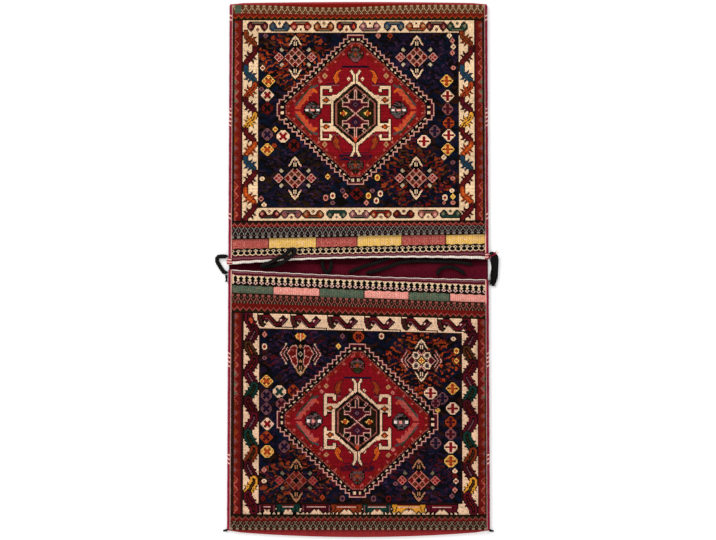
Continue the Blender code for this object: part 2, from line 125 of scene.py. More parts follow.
sun = bpy.data.objects.new("soft_sun", bpy.data.lights.new("soft_sun", "SUN"))
sun.data.energy = 1.25
sun.data.angle = 0.35  # a wide sun, for soft shadows
sun.rotation_euler = (-0.62, -0.72, 0)  # from the upper left
bpy.context.scene.collection.objects.link(sun)

# %% The floor
material, tree, output = new_material("paper_floor")
rays = add(tree, "ShaderNodeLightPath")
paper = add(tree, "ShaderNodeBsdfDiffuse", color=(0.88, 0.88, 0.88, 1))
glow = add(tree, "ShaderNodeEmission", color=(1, 1, 1, 1), strength=0.30)
dark = add(tree, "ShaderNodeEmission", color=(0, 0, 0, 1), strength=0.0)
lift = add(tree, "ShaderNodeMixShader", in_0=rays.outputs["Is Camera Ray"], in_1=dark.outputs[0],
           in_2=glow.outputs[0])
whole = add(tree, "ShaderNodeAddShader", in_0=paper.outputs[0], in_1=lift.outputs[0])
tree.links.new(whole.outputs[0], output.inputs["Surface"])
floor_mesh = bpy.data.meshes.new("floor")
floor_mesh.from_pydata([(-6, -6, 0), (6, -6, 0), (6, 6, 0), (-6, 6, 0)], [], [(0, 1, 2, 3)])
floor_mesh.materials.append(material)
floor = bpy.data.objects.new("floor", floor_mesh)
bpy.context.scene.collection.objects.link(floor)

# %% [markdown]
# ## The strip's shape
#
# Every piece follows the same few rules. A point of a front is named by x, how far it lies across the
# strip, and s, how far from the pile's first line at the fold. The bands near the mouths run askew, the
# mouths gape in the middle, and the whole strip narrows a little toward the upper bag. The lengths here
# are those of the CAD source, so that the new pieces lie where its solids do.

# %% Sizes in metres
HALF_WIDTH = 0.300
NARROWING = 0.012 / 0.600
CLOTH = 0.003
CLEARANCE = 0.0003
BRIDGE = 0.041
POCKET = 0.012
FOLD_FULLNESS = 0.35
PILE = 0.006
BINDING_WIDTH, BINDING_WALL = 0.009, 0.002
SEAM_THICKNESS = 2 * CLOTH + CLEARANCE
SEAM_LIFT = BINDING_WALL + CLEARANCE
CLOTH_EDGE = HALF_WIDTH - BINDING_WALL - CLEARANCE
BINDING_INSIDE = HALF_WIDTH - BINDING_WIDTH
GUARD_OUTSIDE = BINDING_INSIDE - CLEARANCE
BORDER_OUTSIDE = GUARD_OUTSIDE - 0.024
FIELD_SIDE = BORDER_OUTSIDE - 0.0353


class Bag:
    """One pocket: its side of the bridge, and its bands from the fold to the mouth."""

    def __init__(self, name, side, bulge, bands, border_skew, mouth_skew, bow, slits):
        self.name, self.side, self.bulge, self.slits = name, side, bulge, slits
        self.lines = np.cumsum([0, *bands])
        self.border_skew, self.mouth_skew, self.bow = border_skew, mouth_skew, bow


# the bands: lattice, guard, border, field, border, guard, lattice, blocks, figures, edge
UPPER = Bag("upper", 1, 0.003,
            [0.0195, 0.0170, 0.0275, 0.3970, 0.0285, 0.0130, 0.0220, 0.0250, 0.0145, 0.0105],
            0.0005, 0.0062, 0.0090, [-0.206, -0.097, -0.003, 0.099, 0.200])
LOWER = Bag("lower", -1, 0.013,
            [0.0200, 0.0160, 0.0245, 0.3920, 0.0330, 0.0205, 0.0190, 0.0205, 0.0235, 0.0070],
            0.0078, 0.0115, 0.0034, [-0.195, -0.089, 0.013, 0.115, 0.209])
print("pockets", UPPER.lines[-1], "and", LOWER.lines[-1], "m deep")


# %% Where a point of the strip lies
def narrowed(x, y):
    """x, less the share of the narrowing that is reached at y, which grows evenly along the strip."""
    lowest = -BRIDGE / 2 - LOWER.lines[-1]
    share = (y - lowest) / (BRIDGE + LOWER.lines[-1] + UPPER.lines[-1])
    return x * (1 - NARROWING * share)


def lay(bag, x, s):
    """(x, y) on the floor of the point x across and s from the fold.

    The distance from the fold loses a skew that grows in steps toward the mouth and is in proportion
    to x, and gains a bow in proportion to x squared over the last band.
    """
    lines, across = bag.lines, x / HALF_WIDTH
    skew = np.interp(s, [0, lines[5], lines[7]], [0, bag.border_skew, bag.mouth_skew])
    bow = np.interp(s, lines[9:], [0, bag.bow])
    y = bag.side * (BRIDGE / 2 + lines[-1] - (s - skew * across + bow * across**2))
    return narrowed(x, y), y


def fullness(x):
    """0 at the side seams, rising evenly over the guard to 1 at the border."""
    return np.interp(np.abs(x), [BORDER_OUTSIDE, GUARD_OUTSIDE], [1, 0])


def back_height(x):
    """The bindings lift the seams by their own wall."""
    return SEAM_LIFT * (1 - fullness(x))


def ripple(x, y):
    """Shallow waves in the lying cloth: three sines of different directions, about 1 mm in all."""
    waves = np.sin(31 * x + 9 * y) + 0.8 * np.sin(17 * y - 11 * x + 1) + 0.6 * np.sin(43 * y + 3)
    return 0.0005 * waves * fullness(x)


def front_height(bag, x, s):
    """Outer face of the front: both layers at the seam, and the pocket's depth inside of it."""
    rise = np.interp(s, [0, bag.lines[2]], [FOLD_FULLNESS, 1])
    calm = np.interp(s, [0, bag.lines[2], bag.lines[7], bag.lines[9]], [0, 1, 1, 0])
    flat_x, y = lay(bag, x, s)
    height = back_height(x) + SEAM_THICKNESS + (POCKET - CLEARANCE) * fullness(x) * rise
    return height + calm * ripple(flat_x, y)


# %% [markdown]
# ## From arrays to meshes
#
# A surface is a grid of points, one array for each coordinate. Its faces are quads between neighbours,
# and a colour attribute on the faces' corners carries the dye, because it needs no unwrapping and the
# wool's material can read it wherever the surface turns.


# %% Mesh helpers
def grid_faces(rows, columns, closed=False):
    """Quads of a grid of points stored row by row; closed joins the last column to the first."""
    row, column = np.mgrid[: rows - 1, : columns - (not closed)]
    after = (column + 1) % columns
    corners = [row * columns + column, row * columns + after,
               (row + 1) * columns + after, (row + 1) * columns + column]
    return np.stack([c.ravel() for c in corners], 1)


def walked_along(path):
    """How far each point of a path is from the first, along the path."""
    return np.concatenate([[0], np.cumsum(np.linalg.norm(np.diff(path, axis=0), axis=1))])


def make_piece(name, points, faces, material, colours=None, uv=None, smooth=True):
    """A piece at the origin from an (n, 3) array and its faces, with a colour for each face."""
    mesh = bpy.data.meshes.new(name)
    mesh.from_pydata(np.asarray(points).tolist(), [], [list(map(int, f)) for f in faces])
    mesh.materials.append(material)
    count = np.empty(len(mesh.polygons), int)
    mesh.polygons.foreach_get("loop_total", count)
    if colours is not None:
        rgba = np.ones((len(mesh.loops), 4))
        rgba[:, :3] = np.repeat(colours, count, axis=0)
        dye = mesh.color_attributes.new("dye", "FLOAT_COLOR", "CORNER")
        dye.data.foreach_set("color", rgba.ravel())
    if uv is not None:
        corner = np.empty(len(mesh.loops), int)
        mesh.loops.foreach_get("vertex_index", corner)
        layer = mesh.uv_layers.new(name="cloth")
        layer.data.foreach_set("uv", np.asarray(uv)[corner].ravel())
    if smooth:
        mesh.shade_smooth()
    mesh.validate()
    ob = bpy.data.objects.new(name, mesh)
    bpy.context.scene.collection.objects.link(ob)
    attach(ob, "root")
    return ob


# %% [markdown]
# ## Dyes
#
# The wool was dyed in small lots with madder, indigo, weld and walnut, so no colour is quite even.
# The dyes are listed once, by what they look like, and a drawing stores their numbers.

# %% The dyes
DYES = {
    "cream": "#F0D0A8", "white": "#F7EBDD", "rose": "#F0BEAE", "stone": "#BCAC8C", "tan": "#B8885C",
    "reed": "#B29272", "pink": "#C87C6C", "salmon": "#EC9688", "mauve": "#7C4C52",
    "dusk": "#96564A", "faded": "#B2544C", "ember": "#A8421A", "orange": "#D2601E",
    "rust": "#863618", "coral": "#C44C32", "brick": "#6A1610", "madder": "#801810",
    "blush": "#D69C8C", "crimson": "#84101A", "carmine": "#8E1434", "claret": "#9C2E30",
    "wine": "#5A1020", "maroon": "#4A101A", "walnut": "#2A140C", "umber": "#261B0A",
    "brown": "#4E2E18", "purple": "#36203A", "plum": "#20142A", "navy": "#0C0F20",
    "night": "#0B1628", "ink": "#0C0908", "slate": "#4C4846", "smoke": "#5A5654",
    "olive": "#746E54", "sand": "#94866C", "ash": "#827C74", "moss": "#2C3016", "green": "#163A30",
    "bottle": "#4A5C48", "sage": "#46604E", "indigo": "#22405A", "yellow": "#DC9C34",
    "gold": "#EEC062",
}
NUMBER = {name: number for number, name in enumerate(DYES)}
DYE_LIGHT = np.array([linear(code) for code in DYES.values()])
print(len(DYES), "dyes")


def dyed(knots, seed, uneven=0.16, lots=0.08):
    """Linear colours of an array of dye numbers.

    Each knot's lightness varies at random, each row's a little with the lot of wool, and a slow sine
    along the rows fades it in broad bands.
    """
    rng = np.random.default_rng(seed)
    rows = knots.shape[0]
    lot = rng.normal(0, lots, (rows, 1)) + 0.06 * np.sin(np.arange(rows) / 9)[:, None]
    light = 1 + np.clip(rng.normal(0, uneven, knots.shape), -0.4, 0.4) + lot
    return DYE_LIGHT[knots] * light[..., None]


# %% [markdown]
# ## Drawing in knots
#
# A weaver counts knots. A drawing here is an array of dye numbers with one entry for a knot, and every
# shape is a condition on two whole arrays: u counts knots to the right of a middle and v counts down.
# Folding u or v, which means taking its size without its sign, mirrors all that is drawn, so a star
# needs only one of its quarters.


# %% The drawing class
class Drawing:
    """Knots that can be drawn on from any middle, with u to the right and v down."""

    def __init__(self, knots, u, v):
        self.knots, self.u, self.v = knots, u, v

    @classmethod
    def over(cls, knots):
        """A drawing over an array of dye numbers, counted from its middle."""
        rows, columns = knots.shape
        v, u = np.mgrid[:rows, :columns].astype(float)
        return cls(knots, u - (columns - 1) / 2, v - (rows - 1) / 2)

    @classmethod
    def blank(cls, rows, columns, dye):
        return cls.over(np.full((rows, columns), NUMBER[dye]))

    def part(self, top, bottom, left=0, right=None):
        """A rectangle of the drawing as a drawing of its own."""
        return Drawing.over(self.knots[top:bottom, left:right])

    def at(self, u, v, across=False, along=False):
        """The same knots counted from (u, v), mirrored across or along the bag where that is asked."""
        u, v = self.u - u, self.v - v
        return Drawing(self.knots, np.abs(u) if across else u, np.abs(v) if along else v)

    def upended(self, end=-1):
        """The same knots with v counted the other way, or as it was where end is 1."""
        return Drawing(self.knots, self.u, self.v * end)

    def fill(self, where, dye):
        self.knots[where] = NUMBER[dye]

    def cover(self, dye):
        self.knots[:] = NUMBER[dye]

    def diamond(self, u, v, reach, dye, squash=1.0):
        """All knots whose steps across and along to (u, v) add up to reach or less."""
        self.fill(np.abs(self.u - u) + np.abs(self.v - v) * squash <= reach, dye)

    def nest(self, u, v, *rings):
        """Diamonds about (u, v), each inside the one before, as pairs of a reach and a dye."""
        for reach, dye in rings:
            self.diamond(u, v, reach, dye)

    def box(self, u0, u1, v0, v1, dye):
        self.fill((self.u >= u0) & (self.u <= u1) & (self.v >= v0) & (self.v <= v1), dye)

    def line(self, points, dye, width=1.0):
        """A line through points: the knots that lie within half its width of one of its stretches."""
        for (u0, v0), (u1, v1) in zip(points, points[1:]):
            du, dv = u1 - u0, v1 - v0
            along = ((self.u - u0) * du + (self.v - v0) * dv) / max(du * du + dv * dv, 1e-9)
            along = np.clip(along, 0, 1)
            away = np.hypot(self.u - u0 - along * du, self.v - v0 - along * dv)
            self.fill(away <= width / 2, dye)

    def inside(self, points):
        """Where an outline goes round a knot: to the right it is crossed an odd number of times."""
        crossed = np.zeros(self.u.shape, bool)
        for (u0, v0), (u1, v1) in zip(points, points[1:] + points[:1]):
            if v0 != v1:
                spans = (v0 > self.v) != (v1 > self.v)
                crossed ^= spans & (self.u < u0 + (self.v - v0) * (u1 - u0) / (v1 - v0))
        return crossed

    def shape(self, points, dye, edge=None, width=1.0):
        """A filled outline, with a line round it where edge names a dye."""
        self.fill(self.inside(points), dye)
        if edge:
            self.line(points + points[:1], edge, width)


def wave(position, length):
    """A zigzag between 0 and 1 that repeats after length."""
    return np.abs((position / length) % 1 * 2 - 1)


def shrunk(where):
    """A field of knots, less those that touch its outside along a side or a corner."""
    room = np.pad(where, 1)
    rows, columns = where.shape
    inner = where.copy()
    for down in range(3):
        for right in range(3):
            inner &= room[down : down + rows, right : right + columns]
    return inner


# %% [markdown]
# ## Bands and borders
#
# Narrow bands frame the field. The lattice is a row of small diamonds, the guards carry a zigzag on
# madder, and the main border is undyed cream wool with leaf and bracket forms in all the other dyes.


# %% Lattice and guards
def draw_lattice(d, mesh, cell, dot):
    """Rows of dark diamonds half a repeat apart, which leave a mesh one knot wide between them.

    A diamond is all knots with fewer than 2.5 steps to its middle, where a step down counts for 0.7.
    """
    row = d.v - d.v.min()
    d.cover(mesh)
    for middle, shift in ((2, 0), (6.3, 3), (10.6, 0)):
        steps = wave(d.u + shift, 6) * 3 + np.abs(row - middle) * 0.7
        d.fill(steps < 2.5, cell)
        d.fill(steps < 0.5, dot)


def draw_end_guard(d, outer, zigzag, inner):
    """Madder and olive brown that meet along a thin zigzag, with a tooth for every 6 knots."""
    row = d.v.max() - d.v
    edge = np.round(2 + 3 * wave(d.u + 1, 6))
    d.cover(outer)
    d.fill(row < edge, inner)
    d.fill(row == edge, zigzag)
    d.fill(row < 0.5, "ink")


def draw_side_guard(d, hand):
    """A zigzag every 9.4 knots on brick red, and dusty triangles between it and the outer side.

    The triangles are olive, rust or mauve in turn, as the lot of wool changes along the side.
    """
    out = d.u * hand
    line = 1.2 - 2.0 * (2 * wave(d.v, 9.4) - 1)
    lot = np.sin(d.v / 23) + 0.6 * np.sin(d.v / 7.7 + 2)
    d.cover("brick")
    d.fill(out < -2.6, "maroon")
    for low, high, dye in ((-9, -0.8, "olive"), (-0.8, 0.3, "rust"), (0.3, 9, "mauve")):
        d.fill((out > line + 1.1) & (lot >= low) & (lot < high), dye)
    d.fill(np.abs(out - line) < 0.6, "faded")
    d.fill((np.abs(out - line) < 0.6) & (lot > 0.1), "rust")
    d.fill((out > 3.2) | (out < -3.9), "walnut")


# %% [markdown]
# ## Motifs of the borders
#
# Each motif is drawn about its own middle, from a few given points, first the body with its
# outline and then the lines inside of it. Mirrored across, a bracket needs only its right half.

# %% Border motifs
def draw_bracket(d, u, v, body, heart, bar, up):
    """Two leaf shaped lobes that hang from a bar, or stand on it where up is -1, and a diamond."""
    q = d.at(u, v, across=True).upended(up)
    q.shape([(-1, -4.2), (7.6, -4.2), (10.4, -1.6), (10.0, 1.0), (6.8, 4.4), (4.9, 3.4), (3.0, 0.2),
             (4.2, -1.2), (-1, -1.5)], body, "walnut", 1.1)
    q.diamond(7.2, 0.4, 1.8, heart, 0.8)
    q.line([(-1, -3.1), (5, -3.1)], bar, 0.9)
    q.nest(0, 3.0, (1.9, "walnut"), (0.7, heart))


def draw_vine(d, u, middles, dyes, seconds, edge, bold, sway=4.4, stripe=0):
    """A vine with a swept flower at each of its middles, where it crosses from one side to the other.

    The rim of a flower falls from tip to notch once for each of its eight blades, so the blades look
    blown round. Between two flowers the vine runs as far from the middle of the border as sway says.
    bold is the vine's width and stripe that of a dark line along it, and over both runs a thin line in
    the flower's second dye.
    """
    halves = np.diff(middles, prepend=middles[0] - 16, append=middles[-1] + 16) / 2
    for k, (v, dye, second) in enumerate(zip(middles, dyes, seconds)):
        side = sway if k % 2 else -sway
        q = d.at(u, v)
        arms = [(side, -halves[k]), (side, -4.8), (-side, 4.8), (-side, halves[k + 1])]
        away = np.hypot(q.u, q.v)
        blade = (np.arctan2(q.v, q.u) / (2 * pi) * 8 + 0.07 * away) % 1
        rim = 2.8 + (2.4 + 0.4 * sway) * blade
        q.line(arms, edge, bold + 1.8)
        d.fill(away <= rim + 0.6, edge)
        q.line(arms, dye, bold)
        d.fill(away <= rim - 0.4, dye)
        d.fill((away <= rim - 0.9) & (away > 1.4) & (np.abs(blade - 0.5) < 0.14), edge)
        if stripe:
            q.line(arms, edge, stripe)
        core = [(side, 1 - halves[k]), *arms[1:3], (-side, halves[k + 1] - 1)]
        q.line(core, second, 1.1)


def draw_trailing_leaf(d, u, v, dye):
    """A striped leaf along the border, on a bent stem, with cream left free on both sides of it."""
    q = d.at(u, v)
    q.shape([(-15, -6), (-11, -5.5), (-8, -6.5), (-3, -6.5), (4.5, 1.5), (7, -1.5), (10, -5.5), (15, -2),
             (9.5, 4), (5, 5.5), (1, 4.5), (-4, -1), (-6, 1.5), (-8, -1.5), (-9.5, 2), (-7, 2.5),
             (-9, 5.5), (-12.5, 4.5), (-15, -1)], dye, "ink", 1.2)
    q.line([(-13, -5), (-11, 2), (-9, 4)], "moss", 1.2)
    q.line([(-11.4, -4.4), (-9.6, 0.4)], "ink", 0.9)
    q.line([(-9, -4.8), (-3.6, -4.6), (3.4, 3.2)], "brick", 1.0)
    q.line([(-8.4, -3.8), (-4.2, -3.6), (2.2, 3.4)], "ink", 0.9)
    q.line([(-7.4, -2.4), (-4.8, -2.4), (0.8, 3.4)], "mauve", 0.7)
    q.line([(7.6, 1.8), (11.2, -3.8)], "ink", 0.9)
    q.line([(9.5, 2.2), (12.8, -1.4)], "mauve", 0.9)
    q.diamond(8.2, -1.4, 1.1, "rose")
    q.line([(6, 4.6), (8.5, 5.6), (21, 6.0)], "ink", 1.0)


def draw_wings(d, u, v, dye, reach):
    """A bar with a jagged wing at each end, over a cream triangle whose tip is a small diamond."""
    q = d.at(u, v, across=True)
    q.shape([(-1, -5), (reach + 0.5, -5), (reach + 1, -1.5), (reach - 0.5, 0), (reach + 1.4, 4.6),
             (reach - 2, 2.6), (reach - 3.5, 5), (reach * 0.62, 2.4), (reach * 0.5, 4.8), (2.2, -0.4),
             (-1, -0.4)], dye, "ink", 1.1)
    q.line([(-1, -2.2), (reach - 5.5, -2.2)], "rose", 0.7)
    q.line([(reach - 4.5, -3.2), (reach - 3, 2.4)], "ink", 0.8)
    q.line([(reach - 1.6, -3.6), (reach - 1.4, 1.8)], "mauve", 0.7)
    q.line([(-1, -3.8), (reach - 5, -3.8)], "brick", 0.8)
    q.nest(0, 0.9, (1.9, "ink"), (0.7, "coral"))


# %% [markdown]
# ## The field
#
# A navy field is scattered with quartered rosettes and filled with branches at its corners, where each
# of four stars stands. In the middle is a lozenge with a stepped edge and a row of beads, and inside of
# it a hexagon in cream with a latch hook at each of its four shoulders.

# %% Small field motifs
PETALS = {
    "white": ("cream", "crimson", "rose"), "yellow": ("gold", "ember", "orange"),
    "rust": ("ember", "maroon", "rust"), "maroon": ("brick", "ink", "maroon"),
    "dim": ("mauve", "plum", "slate"), "mauve": ("mauve", "maroon", "dusk"),
    "green": ("cream", "green", "rose"), "pink": ("pink", "maroon", "rose"),
}


def octagon_size(q, slant):
    """Size of the octagon through a knot: the largest of its steps across, along and on the slant."""
    return np.maximum(np.maximum(q.u, q.v), (q.u + q.v) * slant)


def draw_rosette(d, u, v, reach, kind):
    """A flower in an octagon, with four arms along its middle lines that end in dark dots.

    Left of the field's middle the arms lie between the middle lines. A small flower is a rim round a
    heart, without arms.
    """
    rim, arms, petal = PETALS[kind]
    q = d.at(u, v, across=True, along=True)
    octagon = octagon_size(q, 0.82)
    d.fill(octagon <= reach + 0.7, "ink")
    d.fill(octagon <= reach - 0.1, rim)
    if reach < 4:
        d.fill(octagon <= reach - 1.5, arms)
        return
    a, b = (q.u, q.v) if u > 0 else ((q.u + q.v) * 0.71, np.abs(q.u - q.v) * 0.71)
    near, far = np.minimum(a, b), np.maximum(a, b)
    d.fill((near < 1.3) & (octagon < reach - 1.1), arms)
    d.fill((near > 1.8) & (octagon < reach - 1.1) & (octagon > reach - 2.4), petal)
    d.fill((near < 0.6) & (np.abs(far - reach + 2.6) < 0.6), "ink")


def draw_bud(d, line, heart):
    """A bud at the end of a star whose middle is at (0, 0): pointed roof, heart, stem and two legs."""
    d.fill(d.u * 1.25 + np.abs(d.v - 15.6) <= 8.4, "ink")
    d.line([(-1, 21.6), (2.4, 18.2), (4.8, 13.4)], line, 1.1)
    d.nest(0, 18, (1.6, heart), (0.6, "brick"))
    d.line([(1.1, 15.4), (1.1, 11.8)], line, 1.0)
    d.diamond(5.8, 12.6, 1.2, heart)


def both_ends(d, u, v, draw, *dyes):
    """Draws something at the top and the bottom end of the star whose middle is at (u, v)."""
    p = d.at(u, v, across=True)
    for end in (-1, 1):
        draw(p.upended(end), *dyes)


def draw_star(d, u, v, line):
    """A star of nine outlined cells in a diamond, a small one of four at each side, and two buds."""
    q = d.at(u, v, across=True, along=True)
    plus, minus = q.u * 1.1 + q.v, np.abs(q.u * 1.1 - q.v)
    d.fill(plus <= 13.6, "ink")
    body = plus <= 12
    d.fill(body, "brick")
    d.fill(body & ((np.abs(plus - 4) < 0.6) | (np.abs(minus - 4) < 0.6) | (plus > 11)), line)
    d.fill(body & (np.abs(plus - 8) < 1.7) & (minus < 1.8), "brown")
    d.fill(plus <= 3.4, "ink")
    q.diamond(1.5, 1.5, 0.9, "cream")
    for hand in (-1, 1):
        p = d.at(u + hand * 16.2, v, across=True, along=True)
        steps = p.u + p.v
        d.fill(steps <= 6.4, "ink")
        d.fill(steps <= 5.0, "crimson")
        d.fill((steps <= 5.0) & ((steps > 3.9) | (np.abs(p.u - p.v) < 0.6)), line)
    q.nest(13.6, 7.4, (2.0, "stone" if line == "blush" else "olive"), (0.8, "ink"))
    both_ends(d, u, v, draw_bud, "cream" if line == "blush" else "tan", line)


def draw_brackets(q, line, tip):
    """A pair of chevrons that point away from a star, with a pale tip at each of their ends."""
    q.line([(14.6, 8.6), (19.6, 0.8), (19.6, 0)], line, 0.9)
    q.line([(12.8, 6.2), (16.6, 0.6), (16.6, 0)], line, 0.9)
    q.line([(16.8, 4.4), (18.0, 2.0)], "brick", 1.0)
    q.diamond(14.2, 9.4, 1.5, tip)


def draw_lobed_star(d, u, v, line):
    """A star with two red lobes about a dark flower, chevrons at its sides, and a fan over it."""
    q = d.at(u, v, across=True, along=True)
    d.fill(q.u * 0.8 + q.v <= 17, "ink")
    p = d.at(u, v, across=True)
    p.shape([(3.2, -6.4), (5.2, -8.8), (8.8, -7.2), (13.2, -0.4), (9.8, 4.2), (8.2, 9.2), (5, 12.4),
             (2.4, 9.8), (3.0, 5.4), (4.4, 1.8), (4.2, -2.2)], "brick", line, 0.9)
    p.line([(4.8, 1.6), (9.6, 3.8)], line, 0.8)
    p.line([(6.2, -2.6), (10.4, -5)], "dusk", 0.8)
    q.nest(0, 0, (2.6, "stone"), (1.4, "ink"))
    q.diamond(0, 7.4, 1.6, "tan")
    draw_brackets(q, line, "stone")
    draw_bud(p, "tan", "cream")
    p.shape([(-1, -13), (2, -13.6), (5.8, -16.4), (5.6, -18.6), (2.8, -21), (-1, -21.2)], "orange",
            "ink")
    p.line([(2.2, -14.6), (4.8, -17.6), (2.6, -20)], "gold", 1.0)
    p.line([(0, -13), (0, -20)], "cream", 0.9)


def draw_round_star(d, u, v, line):
    """Four pale round cells about a small cross, with red cells between them, chevrons and buds."""
    q = d.at(u, v, across=True, along=True)
    d.fill(q.u * 0.75 + q.v <= 15, "ink")
    for middle, dye in (((9.8, 0), "maroon"), ((0, 9.4), "brick")):
        q.nest(*middle, (4.4, line), (3.3, dye))
    away = np.hypot(q.u - 5.6, q.v - 5.2)
    for reach, dye in ((4.4, "ink"), (3.8, "cream"), (2.3, "smoke"), (1.2, "umber")):
        d.fill(away <= reach, dye)
    q.diamond(0, 0, 3.6, "gold")
    d.fill((np.minimum(q.u, q.v) < 0.6) & (np.maximum(q.u, q.v) < 3), "ember")
    draw_brackets(q, line, "dusk")
    both_ends(d, u, v, draw_bud, "cream", "stone")


STARS = [draw_star, draw_lobed_star, draw_round_star]


def mottle(d, where, seed, tall, wide, dyes):
    """Uneven patches of some dyes: a coarse random grid, looked up from places that sway."""
    grid = np.random.default_rng(seed).integers(0, len(dyes), (97, 97))
    row = ((d.v - d.v.min() + 1.5 * np.sin(d.u / 2.3)) / tall).astype(int) % 97
    column = ((d.u - d.u.min() + 2.5 * np.sin(d.v / 1.7)) / wide).astype(int) % 97
    d.knots[where] = np.array([NUMBER[dye] for dye in dyes])[grid[row, column]][where]


def draw_branches(d, u, v, dyes, seed):
    """Leafy branches about a star: strokes that climb 0.6 knots for each knot away from it.

    They are broken where the mottling picks one of the ground's own dyes.
    """
    q = d.at(u, v, across=True, along=True)
    climb = q.v - 0.6 * q.u + 2.2 * wave(q.u + 0.3 * q.v, 7.3) + 1.2 * np.sin(d.v * 0.9 + d.u * 0.3)
    leaf = (climb % 6.4 < 3.0) & (q.u / 45 + q.v / 43 < 1)
    mottle(d, leaf, seed, 2.5, 4.5, dyes)


# %% [markdown]
# ## The lozenge and what it holds
#
# The lozenge's lines all follow its edge, so they come from one number for each knot: its depth below
# the edge. Over them come the hexagon with its hooks and the small figures around it.

# %% The lozenge and the hexagon
def draw_lozenge(d, u, v, width, height):
    """A lozenge whose half width grows by 4.3 knots every 4 rows, with lines that follow its depth.

    Depth is the distance to the nearest of its flat end, its side and its slanted edge.
    """
    q = d.at(u, v, across=True, along=True)
    down = height - q.v
    inside = (down >= 0) & (q.u <= np.minimum(width, 8 + 4.3 * np.floor(down / 4)) + 0.3)
    slanted, side = (8 + 1.075 * down - q.u) / 1.47, width - q.u
    depth = np.minimum(np.minimum(slanted, side), down)
    at_side = side <= slanted
    at_end = down < np.minimum(side, slanted)
    along = np.where(at_side, q.v, np.where(at_end, q.u, (q.u - q.v) * 0.7))
    d.fill(inside, "maroon")
    d.fill(inside & (depth > 3.3), "ink")
    beads = np.where(at_side | at_end, np.abs(depth - 4.9) < 1.4, np.abs(depth - 5.8) < 0.6)
    beads &= inside & (wave(along, 5.7) < 0.46)
    d.fill(beads, "cream")
    d.fill(beads & ~at_side & (wave(along, 11.4) < 0.5), "stone")
    d.fill(inside & (depth > 7.3), "maroon")
    d.fill(inside & (np.abs(depth - 8.5) < 0.5) & (wave(along, 2.4) < 0.7), "dusk")
    d.fill(inside & (depth > 9.1), "crimson")
    fringe = 10.2 + 3.0 * wave(along, 7.4) + 1.2 * np.sin(along / 5)
    d.fill(inside & (depth > 9.1) & (depth < fringe), "madder")
    d.fill(inside & (np.abs(depth - fringe) < 0.6), "brick")
    d.fill(inside & (np.abs(depth - 11.4) < 1.2) & (wave(along + 2, 11.2) < 0.2), "faded")
    d.fill(inside & ~shrunk(inside), "blush")


def draw_hexagon(d, u, v, reach, ground):
    """The hooked hexagon, as one of its quarters: outline, prongs, shoulder block, bar and hook."""
    q = d.at(u, v, across=True, along=True)
    outline = [(-1, 30.3), (22, 11.6), (22, -5), (-1, -5)]
    hook = [([(reach - 1.5, 7), (reach - 1.5, 25.8), (reach - 10.4, 25.8), (reach - 10.8, 22.2)], 2.8),
            ([(2, 31), (23.3, 13)], 2.5), ([(23.3, 13.4), (23.3, 0)], 3.0),
            ([(1.8, 30), (1.8, 38), (4.0, 42)], 2.2)]
    for line, width in hook:
        q.line(line, "ink", width + 1.8)
    q.box(18, reach + 0.6, 8.2, 18.0, "ink")
    for line, width in hook:
        q.line(line, "cream", width)
    q.shape([(17, 9.4), (reach, 9.4), (reach, 17), (17, 18.2)], "cream")
    q.shape(outline, "ink", "walnut", 1.2)
    inner = q.inside(outline) & (q.u < 21)
    mottle(q, inner, 77, 3, 3, ("ink", "ink", ground, "umber"))
    q.line([(-1, 27.0), (19.4, 10.4), (19.4, 0)], "dusk", 1.3)
    q.line([(-1, 24.4), (17.4, 9.4)], "walnut", 0.7)
    q.diamond(reach - 6.3, 13.2, 4.4, "walnut", 1.4)
    q.diamond(reach - 6.3, 13.2, 3.4, "rust", 1.5)
    q.diamond(reach - 6.3, 13.6, 1.6, "orange", 1.2)
    q.fill((np.abs(q.u) < 0.6) & (q.v > 29) & (q.v < 36), "walnut")
    q.shape([(-1, 14), (6.5, 14), (6.5, 10.6), (13, 10.6), (13, 6.9), (8.6, 6.9), (0, 0)], "maroon")
    q.diamond(0, 8.7, 4.6, "plum")
    crown = [(1.3, 22), (1.3, 14), (6.5, 14), (6.5, 10.6), (13, 10.6), (13, 6.9), (8.6, 6.9), (0, 0)]
    q.line(crown, "blush", 1.0)
    q.line([(13, 11), (13.8, 14.4)], "stone", 0.9)
    q.line([(6.5, 14), (8.4, 15.6)], "blush", 0.9)
    q.nest(8.8, 17.4, (2.4, "blush"), (1.4, "ink"))
    q.nest(0, 8.7, (2.4, "mauve"), (1.2, "ink"))
    q.diamond(0, 23, 1.4, "blush")
    q.diamond(12, 0, 4.2, "gold", 1.5)
    q.diamond(12.4, 0.6, 2.6, "ember", 1.5)
    d.at(u, v).diamond(0, 25.4, 2.4, "coral", 0.7)


def draw_speckled(d, u, v, reach, dyes, seed):
    """A dim round flower of mixed grey wools in an octagon."""
    q = d.at(u, v, across=True, along=True)
    octagon = octagon_size(q, 0.76)
    d.fill(octagon <= reach, "ink")
    mottle(d, octagon <= reach - 1, seed, 1.7, 2.1, dyes)


FLOWER_OUT = 43.5  # knots from the hexagon's middle to the speckled flower at either side


